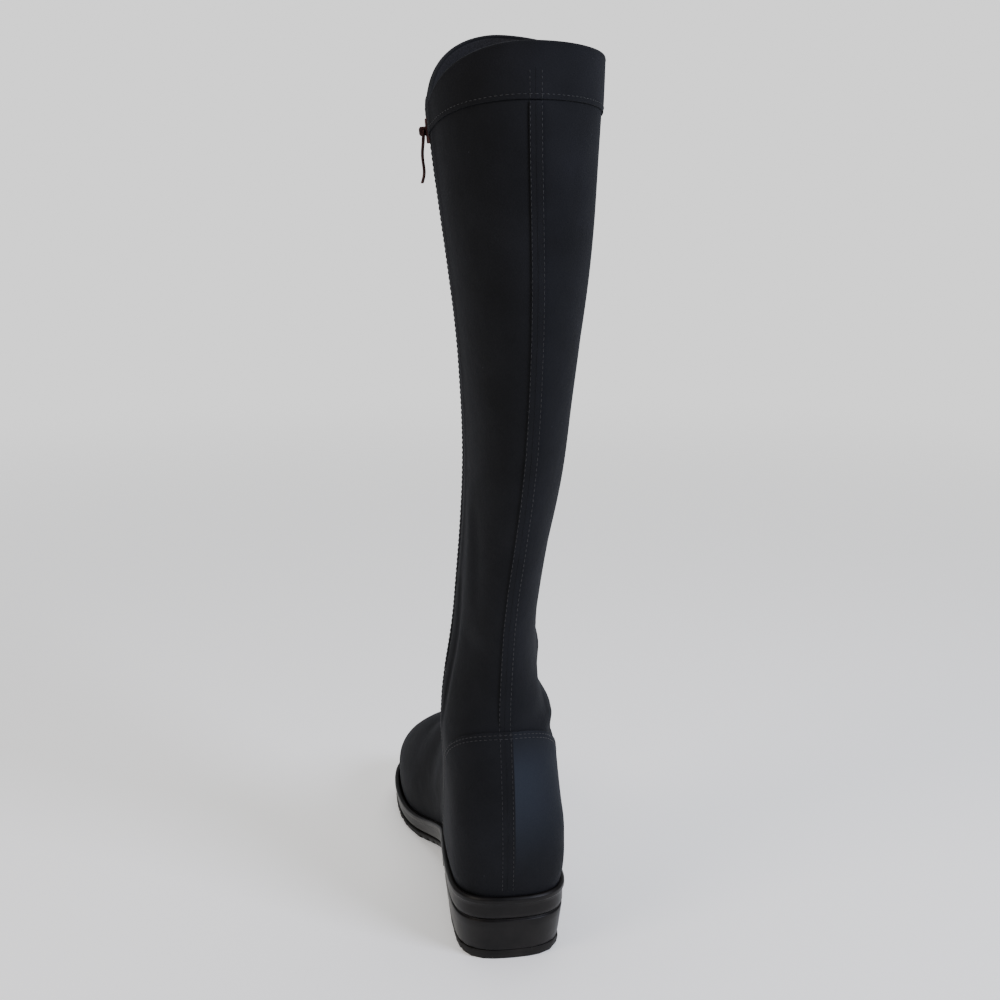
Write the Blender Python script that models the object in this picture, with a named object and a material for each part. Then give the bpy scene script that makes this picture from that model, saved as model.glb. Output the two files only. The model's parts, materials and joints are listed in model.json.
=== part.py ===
"""Knee-high boot for the right foot: a stretch upper with an inner side zip on a moulded rubber sole.

Metres, +Z up, toe towards +Y, the wearer's outer (lateral) side at +X. The origin is the middle of the heel's
flat tread. One function, skin(), gives the outer face of the upper from the section tables below, and every
wall, panel, seam and sole ring is taken from it.
"""
import math
from collections import namedtuple
from functools import lru_cache

import bmesh
import bpy
from mathutils import Matrix, Vector

# Driving sizes of the foot and the sole
SOLE_LENGTH = 0.2625
BALL_WIDTH = 0.089
HEEL_HEIGHT = 0.038
FORE_THICKNESS = 0.0130
TOE_SPRING = 0.0095
INSTEP_RISE = 0.0755
ANKLE_RISE = 0.077
HEEL_OVERHANG = 0.034
HEEL_ROUND = 0.026
TOE_CAP_REACH = 0.052

# Driving sizes of the shaft
BOOT_HEIGHT = 0.498
SHAFT_DEPTH = 0.126
SHAFT_WIDTH = 0.096
SHAFT_LEAN = 0.0105
FRONT_RISE = 0.010
LATERAL_DROP = 0.009
ZIP_DROP = 0.035
COLLAR_POWER = 0.95

# Walls, panels and gaps
WALL = 0.0020
SEAT_GAP = 0.0003
BED_GAP = 0.0006
TUCK = 0.0020
COUNTER_HEIGHT = 0.0985
COUNTER_BACK = 0.016
COUNTER_REACH = 0.072
COUNTER_GIRTH = 0.50
COUNTER_POWER = 1.7
COUNTER_THICKNESS = 0.0007
HEM_HEIGHT = 0.0275
HEM_AT_ZIP = 0.40
HEM_THICKNESS = 0.0006
SEAM_WIDTH = 0.0066
SEAM_THICKNESS = 0.0005
PANEL_GAP = 0.0008

# Zip
SLIT_WIDTH = 0.0080
PLACKET_WIDTH = 0.0100
PLACKET_STEP = 0.0006
ZIP_END_RISE = 0.050
ZIP_AT_TOP = 0.52
ZIP_AT_FOOT = 0.58
TAPE_TAIL = 0.006
TAPE_THICKNESS = 0.0008
COIL_WIDTH = 0.0052
COIL_THICKNESS = 0.0015
SLIDER_LENGTH = 0.0130
SLIDER_WIDTH = 0.0070
SLIDER_THICKNESS = 0.0022
SLIDER_DROP = 0.0075
BRIDGE_LENGTH = 0.0048
BRIDGE_WIDTH = 0.0020
BRIDGE_BAR = 0.0010
BRIDGE_CORNER = 0.0007
BRIDGE_HEIGHT = 0.0036
PULL_BAR = 0.0013
PULL_LENGTH = 0.0270
PULL_WIDTH = 0.0062
PULL_THICKNESS = 0.0016
PULL_EYE_LENGTH = 0.0034
PULL_CLEARANCE = 0.00045

# Sole
RAND_THICKNESS = 0.0112
RAND_FORE_SHARE = 0.76
TREAD_FLAT = 0.0006
LIP_HEIGHT = 0.0022
LIP_CLEARANCE = 0.0012
BEAD = 0.0011
BAND_OUT = 0.0016
HEEL_TOP_PIECE = 0.0062
HEEL_BREAST = 0.033
HEEL_TREAD_SHARE = 0.90
HEEL_BACK_SHARE = 0.88
GROOVE_INSET = 0.0012
GROOVE_HEIGHT = 0.0014
LUG_PITCH = 0.0110
LUG_GAP = 0.0034
LUG_DEPTH = 0.0024
TREAD_SHARES = (0.47, 0.95)
INSOLE_THICKNESS = 0.0030
INSOLE_CLEARANCE = 0.0016

# Roundness of the toe box: powers of height, of reach to the tip and of width
HEIGHT_POWER = 2.5
REACH_POWER = 2.6
WIDTH_POWER = 2.2

# Squareness of the heel's back at the seat; over the counter's height it fades to a plain round
HEEL_POWER = 3.0
HEEL_SQUARE = 0.082

# Plan of the last. at: share of SOLE_LENGTH from the heel's back; the rest: shares of BALL_WIDTH
Plan = namedtuple("Plan", "at lateral medial centre")
LAST_PLAN = (
    Plan(0.00, 0.365, 0.345, 0.000),
    Plan(0.16, 0.368, 0.348, 0.000),
    Plan(0.30, 0.345, 0.325, 0.000),
    Plan(0.43, 0.350, 0.285, 0.000),
    Plan(0.56, 0.425, 0.340, 0.000),
    Plan(0.66, 0.480, 0.445, -0.005),
    Plan(0.73, 0.495, 0.480, -0.015),
    Plan(0.84, 0.480, 0.450, -0.055),
    Plan(0.93, 0.440, 0.410, -0.095),
    Plan(1.00, 0.400, 0.370, -0.120),
)

# Top line of the foot seen from the side. at: share of SOLE_LENGTH; rise: share of INSTEP_RISE over the bed
Ridge = namedtuple("Ridge", "at rise")
RIDGE_LINE = (
    Ridge(0.395, 3.60),
    Ridge(0.424, 1.49),
    Ridge(0.464, 1.17),
    Ridge(0.525, 1.055),
    Ridge(0.616, 0.990),
    Ridge(0.719, 0.885),
    Ridge(0.800, 0.755),
    Ridge(0.890, 0.580),
    Ridge(1.000, 0.420),
)

# Where each foot section meets that line. rise: share of ANKLE_RISE at the heel's back; front: share of length
Reach = namedtuple("Reach", "rise front")
FOOT_FRONTS = (
    Reach(0.305, 0.802),
    Reach(0.400, 0.719),
    Reach(0.480, 0.616),
    Reach(0.585, 0.525),
    Reach(0.740, 0.464),
    Reach(1.000, 0.424),
)

# Sections of heel, ankle and shaft. up: share of the way from heel seat to collar; back and front: shares of
# SHAFT_DEPTH from the heel's middle; half: share of SHAFT_WIDTH; lean: share of SHAFT_LEAN; tilt: how far the
# front lies above the back, a share of ANKLE_RISE; wide: where along the section it is widest; blunt: its power
Section = namedtuple("Section", "up back front half lean tilt wide blunt")
SHAFT_SECTIONS = (
    Section(0.000, -0.254, 0.700, 0.315, 0.00, 0.52, 0.36, 2.2),
    Section(0.060, -0.274, 0.690, 0.318, 0.00, 0.50, 0.36, 2.2),
    Section(0.110, -0.266, 0.670, 0.330, 0.00, 0.42, 0.38, 2.1),
    Section(0.167, -0.232, 0.615, 0.330, -0.12, 0.325, 0.40, 2.0),
    Section(0.222, -0.180, 0.600, 0.276, -0.25, 0.310, 0.42, 1.9),
    Section(0.276, -0.170, 0.600, 0.238, -0.15, 0.275, 0.44, 1.9),
    Section(0.330, -0.182, 0.603, 0.230, -0.05, 0.185, 0.45, 1.9),
    Section(0.396, -0.211, 0.609, 0.234, 0.20, 0.080, 0.45, 2.0),
    Section(0.461, -0.246, 0.619, 0.252, 0.54, 0.025, 0.45, 2.0),
    Section(0.548, -0.305, 0.639, 0.280, 0.82, 0.000, 0.44, 2.0),
    Section(0.635, -0.353, 0.659, 0.313, 0.92, 0.000, 0.43, 2.0),
    Section(0.724, -0.373, 0.674, 0.362, 0.96, 0.000, 0.43, 2.0),
    Section(0.820, -0.369, 0.683, 0.419, 0.90, 0.000, 0.44, 2.0),
    Section(0.907, -0.350, 0.688, 0.460, 0.84, 0.000, 0.46, 2.1),
    Section(1.040, -0.312, 0.690, 0.490, 0.83, 0.000, 0.47, 2.1),
)

# Levels of the upper's wall, shares of ANKLE_RISE in the foot and of the way up to the hem in the shaft
FOOT_LEVELS = (0.0, 0.035, 0.10, 0.16, 0.23, 0.305, 0.38, 0.45, 0.53, 0.63, 0.75, 0.88, 1.0)
SHAFT_LEVELS = (0.061, 0.107, 0.158, 0.215, 0.277, 0.345, 0.42, 0.50, 0.585, 0.67, 0.755, 0.84, 0.92, 1.0)
HEM_LEVELS = (0.34, 0.67, 1.0)

# Side view of the pull tab. down: share of PULL_LENGTH; out: share of PULL_THICKNESS; wide: share of PULL_WIDTH
Bend = namedtuple("Bend", "down out wide")
PULL_BENDS = (
    Bend(0.16, 0.00, 1.00),
    Bend(0.34, 0.35, 0.92),
    Bend(0.52, 0.45, 0.86),
    Bend(0.70, -0.15, 0.90),
    Bend(0.84, -0.20, 1.00),
    Bend(0.95, 0.35, 0.98),
    Bend(1.00, 0.60, 0.80),
)

# Top of the pull tab. down: share of half of PULL_BAR; wide and thick: shares of PULL_WIDTH and PULL_THICKNESS
Head = namedtuple("Head", "down wide thick")
PULL_HEAD = (
    Head(-1.00, 0.86, 0.45),
    Head(-0.60, 0.95, 0.85),
    Head(0.00, 1.00, 1.00),
    Head(1.00, 1.00, 1.00),
)

# Right half of the slider's outline from its foot up: shares of half of SLIDER_WIDTH and of SLIDER_LENGTH
Corner = namedtuple("Corner", "across up")
SLIDER_OUTLINE = (
    Corner(0.55, -1.00),
    Corner(0.86, -0.80),
    Corner(1.00, 0.30),
    Corner(0.92, 0.82),
    Corner(0.60, 1.00),
)

# Number of pieces along a side of a ring, and the reach of a numerical slope
SIDE_STEPS = 48
LATERAL_COLUMNS = 24
BACK_COLUMNS = 9
FRONT_COLUMNS = 10
SOLE_COLUMNS = 26
STATION_GAP = 0.008
ARCH_STEPS = 14
END_CROWDING = 0.55
END_POWER = 1.3
SLOPE_GIRTH = 0.004
SLOPE_LEVEL = 0.0006

HEEL_BACK = -HEEL_OVERHANG
TOE_TIP = HEEL_BACK + SOLE_LENGTH - BAND_OUT - BEAD
TOE_START = TOE_TIP - TOE_CAP_REACH
SEAT = HEEL_HEIGHT
ANKLE = SEAT + ANKLE_RISE
ZIP_END = SEAT + ZIP_END_RISE

# Shares of SOLE_LENGTH where the bed leaves the heel seat and where it reaches the tread of the ball
BED_FALL = (0.26, 0.68)


def clamp(value, low=0.0, high=1.0):
    return max(low, min(high, value))


def ease(value):
    """0 to 1 with level ends."""
    share = clamp(value)
    return share * share * (3 - 2 * share)


def mix(first, second, share):
    return first + (second - first) * share


@lru_cache(maxsize=None)
def slopes(rows, key, column):
    """Slopes at the rows of a table that let a cubic pass through them without overshoot."""
    places = [getattr(row, key) for row in rows]
    values = [getattr(row, column) for row in rows]
    steps = [b - a for a, b in zip(places, places[1:])]
    rises = [(b - a) / step for a, b, step in zip(values, values[1:], steps)]
    inner = []
    for left, right, before, after in zip(rises, rises[1:], steps, steps[1:]):
        if left * right <= 0:
            inner.append(0.0)
            continue
        mean = (left * after + right * before) / (before + after)
        inner.append(math.copysign(min(abs(mean), 2 * abs(left), 2 * abs(right)), left))
    return places, values, [rises[0]] + inner + [rises[-1]]


def read(rows, key, column, place):
    """The value of a table's column at a place between its rows, on a smooth line."""
    places, values, slants = slopes(rows, key, column)
    place = clamp(place, places[0], places[-1])
    index = 0
    while index < len(places) - 2 and place > places[index + 1]:
        index += 1
    span = places[index + 1] - places[index]
    part = (place - places[index]) / span
    rest = 1 - part
    return (values[index] * rest * rest * (1 + 2 * part)
            + values[index + 1] * part * part * (3 - 2 * part)
            + span * slants[index] * part * rest * rest
            - span * slants[index + 1] * part * part * rest)


def share_of_length(y):
    return (y - HEEL_BACK) / SOLE_LENGTH


def bed(y):
    """Height of the line where upper and sole meet, over heel seat, arch, ball and toe spring."""
    at = share_of_length(y)
    start, end = BED_FALL
    seat = 1 - ease((at - start) / (end - start))
    spring = clamp((at - end) / (1 - end)) ** 2
    return FORE_THICKNESS + (SEAT - FORE_THICKNESS) * seat + TOE_SPRING * spring


def ridge(y):
    """Height of the foot's top line at a place along the foot."""
    return bed(y) + INSTEP_RISE * read(RIDGE_LINE, "at", "rise", share_of_length(y))


def section(level, column):
    up = (level - SEAT) / (BOOT_HEIGHT - SEAT)
    return read(SHAFT_SECTIONS, "up", column, up)


@lru_cache(maxsize=None)
def ends(level):
    """Back and front point of the section that starts at this height at the heel's back, as (y, z) pairs."""
    back = (section(level, "back") * SHAFT_DEPTH, level)
    rise = (level - SEAT) / ANKLE_RISE
    first = FOOT_FRONTS[0]
    if rise < first.rise:
        turn = rise / first.rise * math.pi / 2
        y = TOE_START + TOE_CAP_REACH * math.cos(turn) ** (2 / REACH_POWER)
        high = math.sin(turn) ** (2 / HEIGHT_POWER)
        return back, (y, bed(y) + (ridge(y) - bed(y)) * high)
    if rise < 1:
        y = HEEL_BACK + SOLE_LENGTH * read(FOOT_FRONTS, "rise", "front", rise)
        y = min(y, TOE_START)
        return back, (y, ridge(y))
    foot_y = HEEL_BACK + SOLE_LENGTH * FOOT_FRONTS[-1].front
    shaft_y = section(level, "front") * SHAFT_DEPTH
    y = mix(foot_y, shaft_y, ease((rise - 1) / 0.6))
    tilt = ridge(foot_y) - ANKLE
    slant = tilt * section(level, "tilt") / section(ANKLE, "tilt")
    return back, (y, level + slant)


def foot_half(side, y, z, start):
    """Half width of the last at a place of the side view, zero on its top line and its heel's back."""
    at = share_of_length(y)
    floor = bed(y)
    high = clamp((z - floor) / (ridge(y) - floor))
    toe = clamp((y - TOE_START) / TOE_CAP_REACH)
    left = clamp(1 - high ** HEIGHT_POWER - toe ** REACH_POWER)
    power = mix(HEEL_POWER, 2.0, ease((z - SEAT) / HEEL_SQUARE))
    heel = clamp(1 - clamp(1 - (y - start) / HEEL_ROUND) ** power) ** (1 / power)
    return BALL_WIDTH * read(LAST_PLAN, "at", side, at) * left ** (1 / WIDTH_POWER) * heel


def shaft_half(level, share):
    """Half width of a shaft section at a share of its depth, zero at both ends."""
    wide = section(level, "wide")
    off = (wide - share) / wide if share < wide else (share - wide) / (1 - wide)
    round_part = clamp(1 - off ** section(level, "blunt"))
    return SHAFT_WIDTH * section(level, "half") * math.sqrt(round_part)


@lru_cache(maxsize=None)
def half_ring(level, side):
    """Points of one side of a section from the back centre to the front centre, with their distances."""
    (back_y, back_z), (front_y, front_z) = ends(level)
    rise = (level - SEAT) / ANKLE_RISE
    shaft_share = ease((rise - 0.42) / 0.60)
    follow_bed = clamp(1 - rise / 0.70)
    tuck = TUCK * (1 - ease(rise / 0.13))
    sign = 1 if side == "lateral" else -1
    points = []
    for step in range(SIDE_STEPS + 1):
        share = (1 - math.cos(math.pi * step / SIDE_STEPS)) / 2
        y = mix(back_y, front_y, share)
        line = mix(bed(back_y), bed(front_y), share)
        z = mix(back_z, front_z, share) + follow_bed * (bed(y) - line)
        half = 0.0
        centre = 0.0
        if shaft_share < 1:
            half += (1 - shaft_share) * foot_half(side, y, z, back_y)
            centre += (1 - shaft_share) * BALL_WIDTH * read(LAST_PLAN, "at", "centre", share_of_length(y))
        if shaft_share > 0:
            half += shaft_share * shaft_half(level, share)
            centre += shaft_share * SHAFT_LEAN * section(level, "lean")
        half *= 1 - 2 * tuck / (SHAFT_WIDTH * 0.6)
        points.append(Vector((centre + sign * half, y, z)))
    lengths = [0.0]
    for before, after in zip(points, points[1:]):
        lengths.append(lengths[-1] + (after - before).length)
    return points, lengths


def girth_length(level, side):
    return half_ring(level, side)[1][-1]


def on_ring(level, girth):
    """A point of a section. girth: 0 at the back centre, 1 at the front round the lateral side, -1 round
    the medial side."""
    girth = (girth + 1) % 2 - 1
    points, lengths = half_ring(level, "lateral" if girth >= 0 else "medial")
    target = abs(girth) * lengths[-1]
    low, high = 0, SIDE_STEPS
    while high - low > 1:
        middle = (low + high) // 2
        if lengths[middle] <= target:
            low = middle
        else:
            high = middle
    part = (target - lengths[low]) / (lengths[high] - lengths[low])
    return points[low].lerp(points[high], part)


def outward(level, girth):
    along = on_ring(level, girth + SLOPE_GIRTH) - on_ring(level, girth - SLOPE_GIRTH)
    low = max(level - SLOPE_LEVEL, SEAT)
    up = on_ring(level + SLOPE_LEVEL, girth) - on_ring(low, girth)
    return along.cross(up).normalized()


def skin(level, girth, out=0.0):
    """A point at a distance from the outer face of the upper."""
    level = round(level, 5)
    return on_ring(level, girth) + outward(level, girth) * out


def zip_girth(level):
    """Where the middle of the zip lies on the medial side."""
    share = clamp((level - ZIP_END) / (BOOT_HEIGHT - ZIP_END))
    return -mix(ZIP_AT_FOOT, ZIP_AT_TOP, share)


def collar_dip(girth):
    """How far the collar has dipped at one place round the leg: 1 at the zip and at the outer side."""
    apart = abs((girth + ZIP_AT_TOP + 1) % 2 - 1)
    return apart, (1 - math.sin(apart * math.pi)) ** COLLAR_POWER


def collar(girth):
    """Height of the collar: highest at the front, lower at the outer side, with a notch at the zip."""
    apart, dip = collar_dip(girth)
    drop = ZIP_DROP if apart < 0.5 else LATERAL_DROP
    front = ease(2 * abs(girth) - 1) * FRONT_RISE
    return BOOT_HEIGHT + front - drop * dip


def hem_height(girth):
    """Height of the hem band, whose lower edge runs nearly level while the collar dips to the zip."""
    apart, dip = collar_dip(girth)
    return HEM_HEIGHT * (mix(1.0, HEM_AT_ZIP, dip) if apart < 0.5 else 1.0)


def upper_levels(girth):
    """Heights of the wall's rows at one place round the leg."""
    band = hem_height(girth)
    hem = collar(girth) - band
    foot = [SEAT + share * ANKLE_RISE for share in FOOT_LEVELS]
    shaft = [mix(ANKLE, hem, share) for share in SHAFT_LEVELS]
    return foot + shaft + [hem + share * band for share in HEM_LEVELS]


def crowd(share):
    """Moves evenly spaced shares towards both ends of a side."""
    return share - END_CROWDING * math.sin(2 * math.pi * share) / (2 * math.pi)


def columns_at(level):
    """Places of the wall's columns round a section, from the front centre round the medial side to the back
    and on round the lateral side, each with its share of the placket's step."""
    level = max(level, ZIP_END)
    length = girth_length(round(level, 5), "medial")
    middle = zip_girth(level)
    slit = SLIT_WIDTH / 2 / length
    placket = slit + PLACKET_WIDTH / length
    foot = placket + PANEL_GAP / length
    front = [(mix(-1.0, middle - foot, (step / FRONT_COLUMNS) ** END_POWER), 0.0)
             for step in range(FRONT_COLUMNS)]
    edge = [(middle - foot, 0.0), (middle - placket, 1.0), (middle - (slit + placket) / 2, 1.0),
            (middle - slit, 1.0), (middle + slit, 1.0), (middle + (slit + placket) / 2, 1.0),
            (middle + placket, 1.0)]
    back = [(mix(0.0, middle + foot, (step / BACK_COLUMNS) ** END_POWER), 0.0)
            for step in range(BACK_COLUMNS, 0, -1)]
    outer = [(crowd(step / LATERAL_COLUMNS), 0.0) for step in range(LATERAL_COLUMNS)]
    return front + edge + back + outer


def rows_between(low, high, girth):
    """Heights of the wall's rows between two heights, with these two at the ends."""
    rows = [level for level in upper_levels(girth) if low + PANEL_GAP < level < high - PANEL_GAP]
    return [low] + rows + [high]


SLIT_COLUMN = FRONT_COLUMNS + 3
BACK_COLUMN = FRONT_COLUMNS + 7 + BACK_COLUMNS


def new_object(name, mesh, colour, roughness=0.7, metallic=0.0):
    """Links a finished bmesh as an object with its own material, its curved quads folded one way."""
    bmesh.ops.triangulate(mesh, faces=mesh.faces[:])
    data = bpy.data.meshes.new(name)
    mesh.to_mesh(data)
    mesh.free()
    made = bpy.data.objects.new(name, data)
    bpy.context.collection.objects.link(made)
    data.shade_smooth()
    data.set_sharp_from_angle(angle=math.radians(50))
    material = bpy.data.materials.new(name + "_finish")
    material.use_nodes = True
    shader = material.node_tree.nodes["Principled BSDF"]
    shader.inputs["Base Color"].default_value = (*colour, 1.0)
    shader.inputs["Roughness"].default_value = roughness
    shader.inputs["Metallic"].default_value = metallic
    data.materials.append(material)
    return made


FABRIC = (0.010, 0.011, 0.014)
RUBBER = (0.021, 0.019, 0.018)
TAPE = (0.006, 0.006, 0.007)
METAL = (0.10, 0.09, 0.085)


def shell(outer, inner, closed=False, missing=()):
    """A closed wall between two grids of points; cells named in missing leave a hole right through. Every cell
    is folded along the same diagonal, so that a panel lies parallel to the wall under it."""
    mesh = bmesh.new()
    outs = [[mesh.verts.new(point) for point in row] for row in outer]
    ins = [[mesh.verts.new(point) for point in row] for row in inner]
    width = len(outer[0])
    across = width if closed else width - 1
    cells = {(i, j) for i in range(len(outer) - 1) for j in range(across)} - set(missing)

    def wall(a, b):
        mesh.faces.new([outs[a[0]][a[1]], outs[b[0]][b[1]], ins[b[0]][b[1]], ins[a[0]][a[1]]])

    for i, j in sorted(cells):
        k = (j + 1) % width
        corners = [(i, j), (i, k), (i + 1, k), (i + 1, j)]
        for half in (corners[:3], [corners[0]] + corners[2:]):
            mesh.faces.new([outs[a][b] for a, b in half])
            mesh.faces.new([ins[a][b] for a, b in reversed(half)])
        before = (j - 1) % width if closed else j - 1
        after = k if closed else j + 1
        if (i - 1, j) not in cells:
            wall((i, k), (i, j))
        if (i + 1, j) not in cells:
            wall((i + 1, j), (i + 1, k))
        if (i, before) not in cells:
            wall((i, j), (i + 1, j))
        if (i, after) not in cells:
            wall((i + 1, k), (i, k))
    loose = [vertex for vertex in mesh.verts if not vertex.link_faces]
    bmesh.ops.delete(mesh, geom=loose, context="VERTS")
    return mesh


def prism(outline, low, high):
    """A solid between two heights over an outline of (x, y) points, counter-clockwise."""
    mesh = bmesh.new()
    bottom = [mesh.verts.new((x, y, low)) for x, y in outline]
    top = [mesh.verts.new((x, y, high)) for x, y in outline]
    count = len(outline)
    mesh.faces.new(top)
    mesh.faces.new(bottom[::-1])
    for k in range(count):
        n = (k + 1) % count
        mesh.faces.new([bottom[k], bottom[n], top[n], top[k]])
    return mesh


def hide(cutter):
    """Marks a shape that only cuts or joins another piece."""
    cutter.hide_render = True
    cutter.display_type = "WIRE"


def combine(target, other, operation, solver="EXACT"):
    """Joins another solid to the target or cuts it away."""
    modifier = target.modifiers.new(operation.lower(), "BOOLEAN")
    modifier.operation = operation
    modifier.object = other
    modifier.solver = solver


def panel(grid, inner, outer):
    """A piece laid over the skin, from rows of (level, girth, step of the placket)."""
    return shell([[skin(level, girth, outer + step * PLACKET_STEP) for level, girth, step in row] for row in grid],
                 [[skin(level, girth, inner + step * PLACKET_STEP) for level, girth, step in row] for row in grid])


def upper_place(row, index):
    """Level, girth and step of the placket at a corner of the wall's grid."""
    level = upper_levels(zip_girth(BOOT_HEIGHT))[row]
    for _ in range(3):
        girth, step = columns_at(level)[index]
        level = upper_levels(girth)[row]
    return level, girth, step if level > ZIP_END - PANEL_GAP else 0.0


def make_upper():
    count = len(upper_levels(0.0))
    columns = len(columns_at(SEAT))
    grid = [[upper_place(row, index) for index in range(columns)] for row in range(count)]
    outer = [[skin(level, girth, step * PLACKET_STEP) for level, girth, step in row] for row in grid]
    inner = [[skin(level, girth, -WALL) for level, girth, step in row] for row in grid]
    first = FOOT_LEVELS.index(0.63)
    slit = [(row, SLIT_COLUMN) for row in range(first, count - 1)]
    new_object("upper", shell(outer, inner, closed=True, missing=slit), FABRIC, 0.75)


def arch(share):
    """Height of the counter's arched edge, as a share, at a share of its reach."""
    return clamp(1 - share ** COUNTER_POWER) ** (1 / COUNTER_POWER)


def make_counter():
    """The panel round the heel: a layer over the wall's own faces, kept under an arch seen from the side."""
    count = len(columns_at(SEAT))
    last = 1 + sum(1 for level in upper_levels(0.0) if level < SEAT + COUNTER_HEIGHT)
    around = [index % count for index in range(BACK_COLUMN - BACK_COLUMNS, BACK_COLUMN + LATERAL_COLUMNS)
              if abs(columns_at(SEAT)[index % count][0]) < COUNTER_GIRTH]
    grid = [[upper_place(row, index) for index in around] for row in range(1, last + 1)]
    counter = new_object("heel_counter", panel(grid, SEAT_GAP, SEAT_GAP + COUNTER_THICKNESS), FABRIC, 0.7)
    back = HEEL_BACK - COUNTER_HEIGHT / 2
    outline = [(back, 0.0), (HEEL_BACK + COUNTER_REACH, 0.0)]
    for step in range(ARCH_STEPS + 1):
        share = math.cos(math.pi / 2 * step / ARCH_STEPS)
        outline.append((HEEL_BACK + COUNTER_REACH * share, SEAT + COUNTER_HEIGHT * arch(share)))
    outline.append((back, SEAT + COUNTER_HEIGHT))
    cutter = prism(outline, -BALL_WIDTH, BALL_WIDTH)
    cutter.transform(Matrix(((0, 0, 1, 0), (1, 0, 0, 0), (0, 1, 0, 0), (0, 0, 0, 1))))
    shape = new_object("counter_shape", cutter, FABRIC)
    hide(shape)
    combine(counter, shape, "INTERSECT")


def make_hem():
    rows = len(upper_levels(0.0))
    count = len(columns_at(SEAT))
    columns = [index % count for index in range(SLIT_COLUMN + 1, SLIT_COLUMN + 1 + count)]
    grid = []
    for row in range(rows - 1 - len(HEM_LEVELS), rows):
        places = [upper_place(row, index) for index in columns]
        length = girth_length(round(places[0][0], 5), "medial")
        for end, way in ((0, 1), (-1, -1)):
            level, girth, step = places[end]
            places[end] = (level, girth + way * PANEL_GAP / length, step)
        grid.append(places)
    mesh = panel(grid, SEAT_GAP, SEAT_GAP + HEM_THICKNESS)
    new_object("hem_band", mesh, FABRIC, 0.7)


def make_back_seam():
    edge = SEAT + COUNTER_HEIGHT * arch(COUNTER_BACK / COUNTER_REACH) + PANEL_GAP
    low = min(level for level in upper_levels(0.0) if level > edge)
    high = collar(0.0) - hem_height(0.0) - PANEL_GAP
    grid = []
    for level in rows_between(low, high, 0.0):
        row = []
        for side, name in ((-1, "medial"), (0, "lateral"), (1, "lateral")):
            row.append((level, side * SEAM_WIDTH / 2 / girth_length(round(level, 5), name), 0.0))
        grid.append(row)
    new_object("back_seam", panel(grid, SEAT_GAP, SEAT_GAP + SEAM_THICKNESS), FABRIC, 0.7)


def zip_grid(low, high, distances):
    """Places along the zip between two heights, at distances across from its middle."""
    grid = []
    for level in rows_between(low, high, -ZIP_AT_TOP):
        length = girth_length(round(level, 5), "medial")
        grid.append([(level, zip_girth(level) + distance / length, 0.0) for distance in distances])
    return grid


def make_zip_strips():
    top = collar(-ZIP_AT_TOP) - PANEL_GAP
    behind = -WALL - SEAT_GAP
    edge = SLIT_WIDTH / 2
    side = edge + PLACKET_WIDTH / 2
    tape = zip_grid(ZIP_END - TAPE_TAIL, top, (-side, -edge, edge, side))
    new_object("zip_tape", panel(tape, behind - TAPE_THICKNESS, behind), TAPE, 0.8)
    coil = zip_grid(ZIP_END + PANEL_GAP, top, (-COIL_WIDTH / 2, 0.0, COIL_WIDTH / 2))
    new_object("zip_coil", panel(coil, -SEAT_GAP - COIL_THICKNESS, -SEAT_GAP), TAPE, 0.5)


def side_share(sign, y):
    """Share of a side of the sole's outline, from the back, at which it passes a place along the foot."""
    low, high = 0.1, 0.9
    for _ in range(30):
        middle = (low + high) / 2
        if on_ring(SEAT, sign * middle).y < y:
            low = middle
        else:
            high = middle
    return low


def sole_ring(out, start=None, end=None):
    """Both sides of the outline where upper and sole meet, moved outwards, as lists of (x, y). They run from the
    back to the front, or to the line y = end, or from the front back to the line y = start. Every ring uses the
    same stations, so that one layer of the sole lies flat on the next."""
    signs = (1, -1) if start is None else (-1, 1)
    stations = [crowd(step / SOLE_COLUMNS) for step in range(SOLE_COLUMNS + 1)]
    line = end if start is None else start
    cuts = {sign: 1.0 if line is None else side_share(sign, line) for sign in signs}
    if start is not None:
        stations = [share for share in stations[::-1] if share > max(cuts.values()) + STATION_GAP]
    elif end is not None:
        stations = [share for share in stations if share < min(cuts.values()) - STATION_GAP]
    sides = []
    for sign in signs:
        side = []
        for share in stations + ([] if line is None else [cuts[sign]]):
            girth = sign * share
            ahead = on_ring(SEAT, girth + SLOPE_GIRTH) - on_ring(SEAT, girth - SLOPE_GIRTH)
            away = Vector((ahead.y, -ahead.x, 0.0)).normalized()
            spot = on_ring(SEAT, girth) + away * out
            side.append((spot.x, spot.y))
        sides.append(side)
    return sides


def loop_of(sides, height):
    """One closed loop of points, back centre first and counter-clockwise from above."""
    lateral, medial = sides
    shared = math.dist(lateral[-1], medial[-1]) < SEAT_GAP
    flat = lateral + list(reversed(medial[1:-1] if shared else medial[1:]))
    return [Vector((x, y, height(x, y))) for x, y in flat]


def stack(rings):
    """A solid through closed loops, the first one the top. Its caps run straight from side to side."""
    mesh = bmesh.new()
    loops = [[mesh.verts.new(point) for point in ring] for ring in rings]
    count = len(loops[0])
    for above, below in zip(loops, loops[1:]):
        for k in range(count):
            n = (k + 1) % count
            mesh.faces.new([below[k], below[n], above[n], above[k]])
    for loop, upwards in ((loops[0], True), (loops[-1], False)):
        low, high = 0, count
        while high - low > 2:
            far = (high - 1) % count
            near = high % count
            corners = [loop[low], loop[low + 1], loop[far], loop[near]]
            corners = [c for index, c in enumerate(corners) if c not in corners[:index]]
            mesh.faces.new(corners if upwards else corners[::-1])
            low += 1
            high -= 1
        if high - low == 2 and low > 0:
            corners = [loop[low], loop[low + 1], loop[high]]
            mesh.faces.new(corners if upwards else corners[::-1])
    return mesh


def rand_bottom(y):
    """Height of the joint between the sole's side band and what is under it."""
    thick = RAND_THICKNESS * mix(1.0, RAND_FORE_SHARE, ease(share_of_length(y) / BED_FALL[1]))
    return bed(y) - thick


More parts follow.
